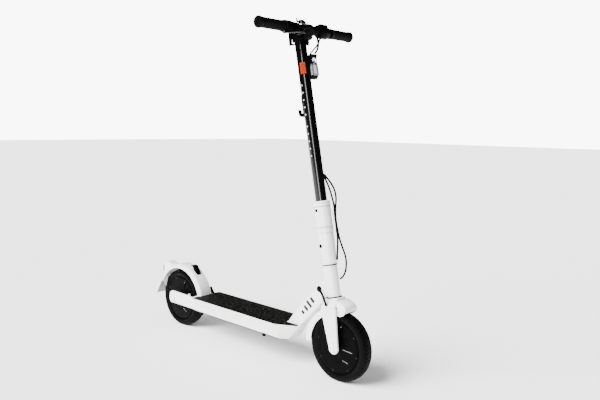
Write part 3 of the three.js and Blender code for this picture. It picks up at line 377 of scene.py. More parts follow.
def lathe(profile, place, segments=96, closed=False):
    """A mesh turned about local Z from (radius, height) pairs: a ring, or a solid ending on the axis."""
    vertices, rows = [], []
    for radius, height in profile:
        if radius < 1e-6:
            rows.append([len(vertices)] * segments)
            vertices.append((0, 0, height))
            continue
        rows.append(list(range(len(vertices), len(vertices) + segments)))
        for k in range(segments):
            turn = 2 * math.pi * k / segments
            vertices.append((radius * math.cos(turn), radius * math.sin(turn), height))
    pairs = list(zip(rows, rows[1:]))
    if closed:
        pairs.append((rows[-1], rows[0]))
    faces = []
    for low, high in pairs:
        for k in range(segments):
            m = (k + 1) % segments
            corners = list(dict.fromkeys((low[k], low[m], high[m], high[k])))
            if len(corners) > 2:
                faces.append(corners)
    return mesh_from(vertices, faces, place)


def prism(points, low, high, place, edge=0.0, steps=3):
    """A polygon pushed along local Z, with rounded rims."""
    box = bmesh.new()
    bottom = [box.verts.new((x, y, low)) for x, y in points]
    face = box.faces.new(bottom)
    moved = bmesh.ops.extrude_face_region(box, geom=[face])
    top = [v for v in moved["geom"] if isinstance(v, bmesh.types.BMVert)]
    bmesh.ops.translate(box, verts=top, vec=(0, 0, high - low))
    if edge:
        rims = [e for e in box.edges if abs(e.verts[0].co.z - e.verts[1].co.z) < 1e-6]
        bmesh.ops.bevel(box, geom=rims, offset=edge, segments=steps, affect="EDGES", profile=0.5)
    bmesh.ops.recalc_face_normals(box, faces=box.faces)
    bmesh.ops.transform(box, matrix=place, verts=box.verts)
    mesh = bpy.data.meshes.new("draft")
    box.to_mesh(mesh)
    box.free()
    return mesh


def rectangle(x0, x1, y0, y1, corner=0.0):
    points = [(x0, y0), (x1, y0), (x1, y1), (x0, y1)]
    return fillet(points, corner) if corner else points


def joined(*meshes):
    box = bmesh.new()
    for mesh in meshes:
        box.from_mesh(mesh)
    whole = bpy.data.meshes.new("draft")
    box.to_mesh(whole)
    box.free()
    return whole


def applied(mesh, *steps):
    """The mesh after modifiers, each a (kind, settings) pair."""
    made = bpy.data.objects.new("draft", mesh)
    bpy.context.scene.collection.objects.link(made)
    for kind, settings in steps:
        modifier = made.modifiers.new(kind, kind)
        for key, value in settings.items():
            setattr(modifier, key, value)
    ready = made.evaluated_get(bpy.context.evaluated_depsgraph_get())
    result = bpy.data.meshes.new_from_object(ready)
    bpy.data.objects.remove(made)
    return result


def carved(mesh, *tools):
    """The mesh with each tool mesh cut away."""
    steps, cutters = [], []
    for tool in tools:
        cutter = bpy.data.objects.new("cutter", tool)
        bpy.context.scene.collection.objects.link(cutter)
        cutters.append(cutter)
        steps.append(("BOOLEAN", {"object": cutter, "operation": "DIFFERENCE", "solver": "EXACT"}))
    result = applied(mesh, *steps)
    for cutter in cutters:
        bpy.data.objects.remove(cutter)
    return result


def softened(node, width, carve=(), steps=3, angle=32):
    """A finer mesh of a CAD node: flat faces made whole, edges rounded."""
    weld, flat = 0.2 * MM, math.radians(1.2)
    mesh = frame["nodes"][node].data.copy()
    box = bmesh.new()
    box.from_mesh(mesh)
    bmesh.ops.remove_doubles(box, verts=box.verts, dist=weld)
    bmesh.ops.dissolve_limit(box, angle_limit=flat, verts=box.verts, edges=box.edges)
    box.to_mesh(mesh)
    box.free()
    if carve:
        mesh = carved(mesh, *carve)
    bevel = {"width": width * MM, "segments": steps, "limit_method": "ANGLE"}
    bevel["angle_limit"] = math.radians(angle)
    return applied(mesh, ("BEVEL", bevel))


def refined(node, width, material, body, slot, smooth=38, **how):
    """A CAD node's piece: its own shape with the edges rounded by a width in millimetres."""
    return piece(node + "_fine", softened(node, width, **how), material, body, [node], smooth)


def from_side(outline, low, high, place, edge=0.0, corner=0.0):
    """A solid from an outline in ahead and up, between two distances to the left."""
    points = [(x, -z) for x, z in outline]
    return prism(fillet(points, corner) if corner else points, low, high, place @ ABOUT_Y, edge)


def from_front(outline, low, high, place, edge=0.0, steps=3):
    """A solid from an outline in left and up, between two distances ahead."""
    return prism([(-z, y) for y, z in outline], low, high, place @ ABOUT_X, edge, steps)


def sweep(points, radius, place, spacing=4.0, sides=14):
    """A round tube along a smooth curve through points, closed at both ends."""
    path = smooth_path([Vector(p) for p in points], spacing)
    vertices, faces = [], []
    across = (path[1] - path[0]).orthogonal().normalized()
    for i, spot in enumerate(path):
        along = (path[min(i + 1, len(path) - 1)] - path[max(i - 1, 0)]).normalized()
        across = (across - along * across.dot(along)).normalized()
        other = along.cross(across)
        for k in range(sides):
            turn = 2 * math.pi * k / sides
            vertices.append(spot + (across * math.cos(turn) + other * math.sin(turn)) * radius)
    for i in range(len(path) - 1):
        for k in range(sides):
            m = (k + 1) % sides
            a, b = i * sides, (i + 1) * sides
            faces.append((a + k, a + m, b + m, b + k))
    faces.append(tuple(range(sides)))
    faces.append(tuple(range(len(vertices) - sides, len(vertices))))
    return mesh_from(vertices, faces, place)


def smooth_path(points, spacing):
    """Points a little apart on a centripetal curve through the given ones."""
    points = [points[0] * 2 - points[1], *points, points[-1] * 2 - points[-2]]
    path = []
    for i in range(1, len(points) - 2):
        p0, p1, p2, p3 = points[i - 1 : i + 3]
        t1 = (p1 - p0).length ** 0.5
        t2 = t1 + (p2 - p1).length ** 0.5
        t3 = t2 + (p3 - p2).length ** 0.5
        steps = max(2, round((p2 - p1).length / spacing))
        for k in range(steps):
            t = t1 + (t2 - t1) * k / steps
            a1 = p0 * ((t1 - t) / t1) + p1 * (t / t1)
            a2 = p1 * ((t2 - t) / (t2 - t1)) + p2 * ((t - t1) / (t2 - t1))
            a3 = p2 * ((t3 - t) / (t3 - t2)) + p3 * ((t - t2) / (t3 - t2))
            b1 = a1 * ((t2 - t) / t2) + a2 * (t / t2)
            b2 = a2 * ((t3 - t) / (t3 - t1)) + a3 * ((t - t1) / (t3 - t1))
            path.append(b1 * ((t2 - t) / (t2 - t1)) + b2 * ((t - t1) / (t2 - t1)))
    path.append(points[-2])
    return path


def screw_head(radius, height, place):
    """A low domed socket-head screw, its face towards local Z."""
    socket, floor = radius * 0.5, height * 0.35
    profile = [(0, -0.5), (radius, -0.5), (radius, height * 0.6), (radius * 0.8, height),
               (socket, height), (socket, floor), (0, floor)]
    return lathe(profile, place, 24)


# ---- deck ---------------------------------------------------------------------------------------
def inside_polygon(x, y, points):
    """Which of many points are inside a polygon."""
    inside = np.zeros(x.shape, bool)
    for (x0, y0), (x1, y1) in zip(points, points[1:] + points[:1]):
        crosses = (y0 > y) != (y1 > y)
        slope = (x1 - x0) / (y1 - y0) if y1 != y0 else 0.0
        inside ^= crosses & (x < x0 + (y - y0) * slope)
    return inside


def mat_pattern():
    """The mat's raised lines: irregular many-sided cells, each line a low ridge."""
    low, high = span("deck_mat", GROUND)
    top = high[2]
    front_half, arm_half, rear_half = 29.0, 24.5, 49.0
    edge = 3.5
    wide = high[1] - edge
    shoulder = high[0] - 82
    outline = [(low[0] + edge, -rear_half), (low[0] + 25, -wide), (shoulder, -wide),
               (high[0] - edge, -front_half), (high[0] - edge, -arm_half), (high[0] - 66, -arm_half)]
    outline += [(x, -y) for x, y in reversed(outline)]
    step = 1.6
    xs = np.arange(low[0], high[0] + step, step)
    ys = np.arange(low[1], high[1] + step, step)
    x, y = np.meshgrid(xs, ys, indexing="ij")
    random = np.random.default_rng(7)
    cell, scatter, squeeze = 21.0, 0.42, 1.25
    line_width, line_height, sunk, base = 2.6, 0.7, 0.15, 1.2
    seeds = []
    for i in range(-1, int((high[0] - low[0]) / cell) + 2):
        for j in range(-1, int((high[1] - low[1]) / cell) + 2):
            jitter = random.uniform(-scatter, scatter, 2)
            seeds.append((low[0] + (i + jitter[0] + 0.5 * (j % 2)) * cell, low[1] + (j + jitter[1]) * cell))
    seeds = np.array(seeds)
    distance = np.hypot(x[..., None] - seeds[:, 0], (y[..., None] - seeds[:, 1]) * squeeze)
    distance.sort(axis=-1)
    line = np.clip(1.0 - (distance[..., 1] - distance[..., 0]) / line_width, 0, 1)
    inside = inside_polygon(x, y, outline)
    z = np.where(inside, top - sunk + line_height * line, top - base / 2)
    vertices = np.stack([x, y, z], -1).reshape(-1, 3)
    rows, columns = x.shape
    faces = []
    keep = inside[:-1, :-1] | inside[1:, :-1] | inside[:-1, 1:] | inside[1:, 1:]
    for i, j in zip(*np.nonzero(keep)):
        a = int(i * columns + j)
        faces.append((a, a + columns, a + columns + 1, a + 1))
    mesh = bpy.data.meshes.new("draft")
    mesh.from_pydata([GROUND @ Vector(v) for v in vertices], [], faces)
    ridge = mesh.attributes.new("ridge", "FLOAT", "POINT")
    ridge.data.foreach_set("value", (line * inside).reshape(-1).astype(np.float32))
    box = bmesh.new()
    box.from_mesh(mesh)
    bmesh.ops.delete(box, geom=[v for v in box.verts if not v.link_faces], context="VERTS")
    skirt = bmesh.ops.extrude_face_region(box, geom=box.faces[:])
    lower = [v for v in skirt["geom"] if isinstance(v, bmesh.types.BMVert)]
    for v in lower:
        v.co.z = (top - base) * MM
    bmesh.ops.recalc_face_normals(box, faces=box.faces)
    box.to_mesh(mesh)
    box.free()
    return mesh


def make_deck():
    refined("deck_frame", 1.6, WHITE, "frame", "white_paint")
    refined("deck_mat", 0.5, RUBBER, "frame", "rubber")
    piece("deck_mat_pattern", mat_pattern(), MAT, "frame", smooth=50)
    refined("bottom_cover", 0.8, BLACK, "frame", "satin_black")
    low, high = span("bottom_cover", GROUND)
    screws, feet = [], []
    for x in np.linspace(low[0] + 14, high[0] - 46, 7):
        for side in (-1, 1):
            spot = at(x, side * (high[1] - 7), low[2] + 0.2)
            screws.append(screw_head(3.2, 1.4, GROUND @ spot @ FLIPPED))
    foot = fillet([(0, -0.5), (8, -0.5), (6.5, 7), (0, 7)], 1.2, closed=False)
    for x in (195, 582):
        for side in (-1, 1):
            feet.append(lathe(foot, GROUND @ at(x, side * 55, high[2] - 1.5) @ FLIPPED, 32))
    piece("bottom_screws", joined(*screws), STEEL, "frame")
    piece("deck_feet", joined(*feet), RUBBER, "frame")


# ---- neck arm and head ----------------------------------------------------------------------
def make_neck():
    refined("neck_arm", 1.8, WHITE, "frame", "white_paint")
    low, high = span("head_tube", HEAD)
    outer = high[1]
    bore, bearing_bore = 21.0, 15.6
    ring = rectangle(bore, outer, low[2], high[2], 1.6)
    piece("head_tube_fine", lathe(ring, HEAD, 96, True), WHITE, "frame", ["head_tube"])
    for node in ("lower_bearing", "upper_bearing"):
        low, high = span(node, HEAD)
        ring = rectangle(bearing_bore, high[1], low[2], high[2], 0.8)
        piece(node + "_fine", lathe(ring, HEAD, 96, True), BLACK, "frame", [node])
    side, bar_depth, bar_corner = -22.0, 12, 3.0  # the arm's right face
    bars = []
    start, end = Vector((752, 216)), Vector((812, 289))
    along = (end - start).normalized()
    across = Vector((-along.y, along.x))
    for share, reach in ((0.0, 8.0), (0.25, 12.0), (0.50, 16.0), (0.75, 12.0)):
        foot = start.lerp(end, share)
        corners = [foot - across * reach, foot + across * reach]
        corners += [c + along * bar_depth for c in reversed(corners)]
        shape = fillet([(c.x, -c.y) for c in corners], bar_corner)
        bars.append(prism(shape, side - 0.35, side + 0.4, GROUND @ ABOUT_Y, 0.1))
    piece("arm_mark", joined(*bars), MARK, "frame")
    half = [(0, -1), (11.5, -1), (11.5, 1.8), (9.4, 3.4), (7.0, 2.2), (5.4, 3.0), (0, 3.0)]
    grommet = fillet(half, 0.8, closed=False)
    place = GROUND @ at(834, side, 323.5) @ Matrix.Rotation(math.pi / 2, 4, "X")
    piece("motor_cable_grommet", lathe(grommet, place, 40), RUBBER, "frame")


# ---- wheels -----------------------------------------------------------------------------------
def tyre_mesh(place):
    """A tyre about local Z: bead, sidewall with a raised ring, shoulder blocks and tread."""
    half = [(86.4, 16.2), (93.0, 16.6), (97.8, 20.4), (101.4, 23.6), (102.6, 24.9), (104.0, 24.6),
            (109.0, 26.1), (114.5, 26.2), (119.5, 24.0), (123.4, 19.6), (125.8, 14.0), (126.8, 7.0),
            (127.0, 0.0)]
    profile = [Vector(p) for p in half]
    rim = [Vector((r, -h)) for r, h in half[-2::-1]]
    path = smooth_path([Vector((p.x, p.y, 0)) for p in profile + rim], 1.25)
    segments, blocks = 540, 54
    vertices, faces = [], []
    count = len(path)
    for k in range(segments):
        turn = 2 * math.pi * k / segments
        cosine, sine = math.cos(turn), math.sin(turn)
        for spot in path:
            radius, height = spot.x, spot.y
            sink = groove_depth(k / segments * blocks, radius, height)
            out = Vector((radius - 100.0, height * 0.9)).normalized() * sink
            radius, height = radius - out.x, height - out.y
            vertices.append((radius * cosine, radius * sine, height))
    for k in range(segments):
        a, b = k * count, ((k + 1) % segments) * count
        for i in range(count):
            m = (i + 1) % count
            faces.append((a + i, b + i, b + m, a + m))
    return mesh_from(vertices, faces, place)


def groove_depth(phase, radius, height):
    """How far the tread is cut in, in millimetres, at a place round the tyre counted in blocks."""
    off = abs(height)
    wall, tread, fade = 108.0, 121.5, 4.0  # radii where the slots start and where the tread does
    inner_ring, outer_ring = 8.0, 18.3
    if radius < wall:
        return 0.0
    if radius < tread:  # shoulder: short slots that fade down the sidewall
        slot = (phase * 2) % 1.0
        return 1.1 * (slot < 0.30) * min(1.0, (radius - wall) / fade)
    if abs(off - inner_ring) < 1.0 or abs(off - outer_ring) < 0.9:  # rings round the tread
        return 2.2
    if off > inner_ring:
        return 2.2 * ((phase + 0.05 * off) % 1.0 < 0.20)
    slot = (phase + (0.5 if height > 0 else 0.0) + 0.06 * height) % 1.0
    return 1.8 * (slot < 0.16)


def wheel_disc(side, hub_radius, face, place):
    """Raised ribs, rings and screws on a hub's face; side is 1 on the rider's left."""
    flip = place if side > 0 else place @ FLIPPED
    rib_count, screw_count = 24, 8
    ribs = []
    for k in range(rib_count):
        turn = Matrix.Rotation(2 * math.pi * k / rib_count, 4, "Z")
        rib = rectangle(37.0, hub_radius - 14.0, -0.8, 0.8, 0.7)
        ribs.append(prism(rib, face - 0.5, face + 0.55, flip @ turn, 0.3, 2))
    for radius in (35.0, 58.0, 84.0):
        ring = rectangle(radius - 1.1, radius + 1.1, face - 0.5, face + 0.7, 0.4)
        ribs.append(lathe(ring, flip, 96, True))
    screws = []
    for k in range(screw_count):
        turn = Matrix.Rotation(2 * math.pi * (k + 0.5) / screw_count, 4, "Z")
        screws.append(screw_head(3.0, 1.6, flip @ turn @ at(hub_radius - 5.2, 0, face - 0.9)))
    return joined(*ribs), joined(*screws)


def make_wheel(which, body, place, drum):
    tyre, hub = which + "_tyre", which + "_hub"
    piece(tyre + "_fine", tyre_mesh(place), TYRE, body, [tyre], 32)
    half_width, hub_radius, bore, boss = 21.8, 94.8, 8.4, 29.0
    right = [(bore, -boss), (bore + 6.6, -boss), (bore + 9.6, -half_width - 2), (34, -half_width),
             (84, -half_width), (88, -half_width - 0.2), (93.6, -half_width + 0.6), (95.1, -19.5),
             (95.1, -18.4), (86.4, -17.0)]
    left = [(r, -h) for r, h in reversed(right)]
    if drum:
        drum_left = [p for p in left if p[0] > 50] + [(46, half_width), (46, 14), (bore, 14)]
        profile = right + drum_left
    else:
        profile = right + left
    mesh = lathe(fillet(profile, 0.9, steps=3), place, 128, True)
    piece(hub + "_fine", mesh, BLACK, body, [hub])
    for side, label in SIDES:
        if side > 0 and drum:
            continue
        ribs, screws = wheel_disc(side, hub_radius, half_width, place)
        piece(f"{hub}_ribs_{label}", ribs, BLACK, body)
        piece(f"{hub}_screws_{label}", screws, BLACK_GLOSS, body)
        # Two pale radial strips at fixed turns on each hub face: painted highlights, where the black disc
        # catches the light.
        scale = []
        facing = place if side > 0 else place @ FLIPPED
        for degrees, first, last, off in ((-16, 25, 69, 0), (-27, 36.6, 62.7, -32.5)):
            line = rectangle(first, last, off - 0.35, off + 0.35, 0.3)
            turned = facing @ Matrix.Rotation(math.radians(degrees), 4, "Z")
            scale.append(prism(line, half_width + 0.4, half_width + 0.95, turned, 0.1, 2))
        piece(f"{hub}_lines_{label}", joined(*scale), PALE_MARK_AND_PAINTED_HIGHLIGHT, body)
    stem = fillet([(0, 0), (2.6, 0), (2.6, 13), (3.2, 13.5), (3.2, 18), (0, 18)], 0.5, closed=False)
    valve = place @ Matrix.Rotation(math.radians(-66), 4, "Z") @ at(62, 0, -half_width - 1.6) @ ABOUT_X
    piece(which + "_valve", lathe(stem, valve, 24), BLACK, body)
    tip = fillet([(0, 17.6), (2.4, 17.6), (2.4, 19.6), (0, 20.2)], 0.4, closed=False)
    piece(which + "_valve_tip", lathe(tip, valve, 20), STEEL, body)


def make_wheels():
    front = HEAD @ ABOUT_Y
    rear_axle = Matrix.Translation(rear_axle_at) @ Matrix.Scale(MM, 4)
    make_wheel("front", "front_wheel", front, False)
    make_wheel("rear", "rear_wheel", rear_axle @ ABOUT_Y, True)
    nut = fillet([(0, 0), (9, 0), (9, 5), (7, 6.5), (0, 6.5)], 0.8, closed=False)
    nut_out, nuts = 58.0, []
    for side in (-1, 1):
        turn = ABOUT_Y if side > 0 else ABOUT_Y.inverted()
        nuts.append(lathe(nut, rear_axle @ turn @ at(0, 0, nut_out), 6))
    piece("rear_axle_nuts", joined(*nuts), WHITE, "frame", smooth=25)


# ---- rear arms, fender, light --------------------------------------------------------------
def make_rear():
    for side, label in SIDES:
        node = "rear_arm_" + label
        outer = span(node, GROUND)[0 if side < 0 else 1][1]
        grooves = []
        for up in (0.0, 9.5):
            bar = [(-18, 135 + up), (118, 131 + up), (118, 132.6 + up), (-18, 136.6 + up)]
            grooves.append(from_side(bar, outer - 1.2, outer + 1.2, GROUND))
        refined(node, 0.8, WHITE, "frame", "white_paint", carve=grooves)
    refined("rear_fender", 0.5, WHITE, "frame", "white_paint", steps=2, angle=36)
    refined("fender_clip", 0.9, BLACK, "frame", "satin_black")
    lens = softened("rear_light_lens", 0.5)
    widening, set_back = 1.27, 0.2 * MM
    lens.transform(Matrix.Scale(widening, 4, (0, 1, 0)))
    lens.transform(Matrix.Translation((-set_back, 0, 0)))
    piece("rear_light_lens_fine", lens, RED, "frame", ["rear_light_lens"])
    stay = [(132, 166.5), (158, 166.5), (154, 171), (144, 184), (137, 193), (133, 190)]
    wedge = from_side(stay, 37.5, 46.5, GROUND, 0.8, 1.5)
    piece("fender_stay", wedge, BLACK, "frame")
    brackets = []
    for side in (-1, 1):
        strap = [(-108, 166), (-98, 166), (-92, 186), (-84, 208), (-96, 222), (-114, 214), (-122, 190)]
        low = 28.5 if side > 0 else -32.0
        brackets.append(from_side(strap, low, low + 3.5, GROUND, 0.6, 3.0))
    piece("fender_brackets", joined(*brackets), GREY_PAINT_AND_GROOVE_SHADE, "frame")
    refined("rear_plate", 0.7, PLATE, "frame", "grey_plate")


# ---- fork and front fender --------------------------------------------------------------------
def panel_groove(outline, low, high, width=1.3):
    """A narrow cutter round an outline, ahead and up of the head, for a recessed panel's line."""
    middle = sum((Vector(p) for p in outline), Vector((0, 0))) / len(outline)
    inner = []
    for x, z in outline:
        away = Vector((x, z)) - middle
        near = middle + away * (1 - 1.6 * width / away.length)
        inner.append(tuple(near))
    tool = from_side(outline, low, high, HEAD, corner=5.0)
    return carved(tool, from_side(inner, low - 2, high + 2, HEAD, corner=4.6))


def make_fork():
    refined("fork_crown", 1.4, WHITE, "fork", "white_paint")
    panel = [(-13, 44), (13, 44), (21, 118), (-21, 118)]
    pad_radius, leg_face = 8.6, 45.1
    for side, label in SIDES:
        node = "fork_leg_" + label
        outer = side * leg_face
        groove = panel_groove(panel, outer - 1.2, outer + 0.8)
        turns = [math.radians(degrees) for degrees in range(0, 181, 20)]
        arc = [(pad_radius * math.cos(t), pad_radius * math.sin(t)) for t in turns]
        pad = [(x, z + 20) for x, z in arc] + [(-x, -6 - z) for x, z in arc]
        ring = panel_groove(pad, outer - 1.4, outer + 0.6, 0.7)
        refined(node, 0.9, WHITE, "fork", "white_paint", carve=[groove, ring])
    refined("front_fender", 0.8, WHITE, "fork", "white_paint", steps=2, angle=36)
    lip = [(36, 128), (52, 125), (66, 121.5), (73.5, 134), (69.5, 139), (54, 139.5), (40, 141)]
    for side, label in SIDES:
        low = 31.0 if side > 0 else -33.6
        band = from_side(lip, low, low + 2.6, HEAD, 0.9, 3.0)
        piece("fender_lip_" + label, band, WHITE, "fork")
    # A thin black sheet inside the back of the fender's arc: painted shade, the fender's dark underside put in
    # as a part.
    outer, inner, half_width = 137.6, 135.8, 28
    turns = np.radians(np.linspace(128, 169, 14))
    arc = [(outer * math.cos(t), outer * math.sin(t)) for t in turns]
    arc += [(inner * math.cos(t), inner * math.sin(t)) for t in reversed(turns)]
    shade_sheet = from_side(arc, -half_width, half_width, HEAD, 0.4)
    piece("fender_painted_shade_sheet", shade_sheet, BLACK, "fork")


# ---- fold joint, stem and lock -----------------------------------------------------------------
def make_fold():
    refined("fold_base", 0.9, WHITE, "fork", "white_paint")
    refined("stem_knuckle", 0.7, WHITE, "stem", "white_paint")
    low, high = span("fold_pivot_bolt", HEAD)
    middle = (low + high) / 2
    for side, label in SIDES:
        turn = ABOUT_Y if side > 0 else ABOUT_Y.inverted()
        half = [(0, 0), (7.4, 0), (7.4, 3.0), (5.6, 4.6), (3.2, 4.6), (3.2, 2.0), (0, 2.0)]
        head = fillet(half, 0.5, closed=False)
        place = HEAD @ at(middle[0], 0, middle[2]) @ turn @ at(0, 0, high[1] - 4.2)
        piece("fold_pivot_head_" + label, lathe(head, place, 40), BLACK, "fork")
    radius = span("fold_base", HEAD)[1][1]
    screws = []
    for height in (330.0, 312.0):
        for turn in (-118, 118):
            place = HEAD @ Matrix.Rotation(math.radians(turn), 4, "Z") @ at(radius - 0.6, 0, height) @ ABOUT_X
            screws.append(screw_head(2.2, 1.2, place))
    piece("fold_base_screws", joined(*screws), BLACK, "fork")


def make_stem():
    low, high = span("stem_tube", HEAD)
    radius = high[1]
    inner = radius - 3
    ring = rectangle(inner, radius, low[2], high[2], 0.6)
    piece("stem_tube_fine", lathe(ring, HEAD, 128, True), BLACK_GLOSS, "stem", ["stem_tube"])
    dots, dot_pitch = [], 26.7
    out = HEAD @ Matrix.Rotation(math.radians(-94), 4, "Z")
    for first in (840.0, 690.0):
        for k in range(5):
            place = out @ at(radius, 0, first + dot_pitch * k) @ ABOUT_X
            dots.append(lathe([(0, -0.6), (3.0, -0.6), (3.0, 0.25), (0, 0.35)], place, 28))
    piece("stem_dots", joined(*dots), PALE_MARK_AND_PAINTED_HIGHLIGHT, "stem")

    low, high = span("lock_sleeve", HEAD)
    outer = high[1]
    inner = radius + 0.3
    top = high[2]
    base = low[2]
    profile = [(inner, base), (outer, base), (outer, base + 4.2), (outer - 0.7, base + 4.9),
               (outer - 0.7, base + 6.1), (outer, base + 6.8), (outer, top - 22), (outer - 0.9, top - 21),
               (outer - 0.9, top - 19), (outer, top - 18), (outer, top - 3), (outer - 3, top), (inner, top)]
    sleeve = lathe(fillet(profile, 0.8, steps=3), HEAD, 96, True)
    button_low, button_high = span("lock_button", HEAD)
    middle = (button_low + button_high) / 2
    room = (button_high[0] - button_low[0]) / 2 + 0.3
    button_place = HEAD @ at(middle[0], 0, middle[2]) @ ABOUT_Y.inverted()
    hole = lathe([(0, 0), (room, 0), (room, 60), (0, 60)], button_place, 40)
    piece("lock_sleeve_fine", carved(sleeve, hole), WHITE, "lock_sleeve", ["lock_sleeve"])
    # Grey bands set flush in the sleeve's two grooves and under its rim: painted shade, the grooves' shadow
    # drawn as colour.
    groove_shade_bands = []
    for height, tall in ((top - 8.6, 1.1), (top - 20.6, 1.2), (base + 4.9, 1.2)):
        band = rectangle(outer - 2, outer + 0.12, height, height + tall, 0.3)
        groove_shade_bands.append(carved(lathe(band, HEAD, 96, True), hole))
    piece("sleeve_painted_groove_shade", joined(*groove_shade_bands), GREY_PAINT_AND_GROOVE_SHADE, "lock_sleeve")
    size = room - 0.3
    front = -button_low[1]
    back = -button_high[1]
    cap = [(0, back), (size, back), (size, front - 1), (size - 1.4, front + 0.1), (0, front)]
    cap = fillet(cap, 0.4, closed=False)
    cap = lathe(cap, button_place, 40)
    piece("lock_button_fine", cap, BLACK, "lock_button", ["lock_button"])


# ---- bar ------------------------------------------------------------------------------------------
def make_bar():
    low, high = span("handlebar", HEAD)
    ahead, height = (low[0] + high[0]) / 2, (low[2] + high[2]) / 2
    bar = HEAD @ at(ahead, 0, height) @ ABOUT_Y
    thick = (high[0] - low[0]) / 2
    thin, length = 11.1, high[1]
    half = [(thick, 0), (thick, 42), (thick - 0.6, 48), (thin + 0.6, 58), (thin, 64), (thin, length)]
    profile = [(0, -length)] + [(r, -h) for r, h in reversed(half[1:])] + half[1:] + [(0, length)]
    piece("handlebar_fine", lathe(profile, bar, 64), BLACK, "stem", ["handlebar"])
    for side, label in SIDES:
        place = bar if side > 0 else bar @ FLIPPED
        ribs = [(11.4, 239.3), (11.4, 125), (19.4, 125), (19.4, 129), (18.2, 131)]
        for k in range(21):
            start = 136 + 4.4 * k
            ribs += [(18.2, start), (17.6, start + 0.7), (17.6, start + 1.6), (18.2, start + 2.3)]
        ribs += [(18.2, 231), (20.4, 233.5), (20.4, 240.5), (18.6, 243), (0, 243.3)]
        grip = lathe([(0, 239.3)] + ribs, place, 72)
        piece(f"grip_{label}_fine", grip, RUBBER, "stem", ["grip_" + label], 50)
        ring = rectangle(8.0, 12.4, 242.4, 243.9, 0.3)
        piece(f"grip_end_{label}", lathe(ring, place, 48, True), BLACK_GLOSS, "stem")
    clear = from_side([(22.5, 1080), (80, 1080), (80, 1107), (26, 1107)], -30, 30, HEAD)
    refined("stem_clamp", 1.0, BLACK, "stem", "satin_black", carve=[clear])
    refined("brake_perch", 0.5, BLACK_GLOSS, "stem", "satin_black")
    refined("brake_lever", 0.8, BLACK_GLOSS, "brake_lever", "steel")
    refined("throttle_housing", 0.5, BLACK, "stem", "satin_black")
    refined("throttle_paddle", 0.7, BLACK, "throttle", "satin_black")
    refined("bell_dome", 0.3, BLACK_GLOSS, "stem", "gloss_black", smooth=60, angle=60)
    refined("bell_striker", 0.5, BLACK, "bell_striker", "satin_black")
    refined("control_unit", 0.8, BLACK, "stem", "satin_black")


# ---- headlight, reflectors, hook ------------------------------------------------------------------
def make_headlight():
    """A housing with a chrome bowl and lamp above, and a white reflector between silver rails below."""
    _, high = span("headlight_body", HEAD)
    refined("headlight_body", 1.2, BLACK, "stem", "satin_black")
    lens_low, lens_high = span("headlight_lens", HEAD)
    bottom, top = lens_low[2], lens_high[2]
    half, back, front = lens_high[1], lens_low[0], lens_high[0]
    split = bottom + 0.58 * (top - bottom)
    rails = []
    for side in (-1, 1):
        y = side * (half - 2.4)
        bar = rectangle(y - 2.4, y + 2.4, bottom + 0.5, split, 1.2)
        rails.append(from_front(bar, front - 4.5, front + 1.6, HEAD, 0.8))
    foot = rectangle(-half, half, bottom, bottom + 4.5, 1.2)
    rails.append(from_front(foot, front - 4.5, front + 1.4, HEAD, 0.8))
    flank = [(back + 1, bottom + 1), (front + 0.6, bottom + 1), (front + 0.6, split - 4),
             (back + 8, split + 4), (back + 1, split - 8)]
    body_half = high[1]
    for side in (-1, 1):
        near = body_half - 0.4 if side > 0 else -body_half - 1.0
        rails.append(from_side(flank, near, near + 1.4, HEAD, 0.5, 1.5))
    piece("headlight_rails", joined(*rails), SILVER, "stem")
    board = rectangle(-half + 5.5, half - 5.5, bottom + 4.0, split, 0.8)
    board = from_front(board, back + 1, front - 1.2, HEAD, 0.5)
    piece("headlight_reflector", board, PANEL, "stem")
    centre = (split + top) / 2 + 1.0
    rim = min(half, (top - split) / 2) - 0.2
    place = HEAD @ at(back + 0.6, 0, centre) @ ABOUT_X
    bowl = [(3.0, 0), (rim - 3.5, 2.0), (rim - 0.6, 7.2), (rim + 0.4, 7.2), (rim + 0.4, 8.4),
            (rim - 1.4, 8.4), (rim - 4.6, 3.4), (3.0, 1.2)]
    bowl = fillet(bowl, 0.3, steps=2)
    piece("headlight_bowl", lathe(bowl, place, 56, True), CHROME, "stem")
    lamp = fillet([(0, 0), (3.4, 0), (3.4, 2.2), (2.4, 4.0), (0, 4.6)], 0.8, closed=False)
    piece("headlight_lamp", lathe(lamp, place, 32), PANEL, "stem")
    low_place = HEAD @ at(front - 1.6, 0, split + 1.2) @ ABOUT_X
    ring = rectangle(1.6, 4.2, 0, 2.8, 0.5)
    piece("headlight_sensor_ring", lathe(ring, low_place, 32, True), CHROME, "stem")
    plate = rectangle(-half + 0.4, half - 0.4, split + 0.5, top - 0.4, 2.0)
    plate = from_front(plate, front + 0.2, front + 1.6, HEAD, 0.5)
    piece("headlight_lens_fine", plate, CLEAR, "stem", ["headlight_lens"])
    hood = [(front - 2, high[2] - 2.6), (high[0] + 1.5, high[2] - 5), (high[0] + 2.0, high[2] - 2.5),
            (front - 2, high[2] + 0.6)]
    peak = from_side(hood, -half - 1, half + 1, HEAD, 0.8, 0.8)
    piece("headlight_peak", peak, BLACK, "stem")


def make_reflectors():
    facing, rib_foot = 54, 26.2  # degrees from ahead, and millimetres out from the stem's axis
    for side, label in SIDES:
        node = "side_reflector_" + label
        refined(node, 1.4, AMBER, "stem", "amber_reflector", steps=4)
        low, high = span(node, HEAD)
        ribs = []
        turn = Matrix.Rotation(math.radians(facing * side), 4, "Z")
        for y in np.linspace(-6.5, 6.5, 6):
            bar = rectangle(y - 0.55, y + 0.55, low[2] + 4, high[2] - 4, 0.5)
            ribs.append(from_front(bar, rib_foot, rib_foot + 0.75, HEAD @ turn, 0.25, 2))
        piece(f"side_reflector_{label}_ribs", joined(*ribs), AMBER, "stem")


def make_lights():
    make_headlight()
    make_reflectors()
    refined("bag_hook", 0.8, BLACK, "stem", "satin_black")


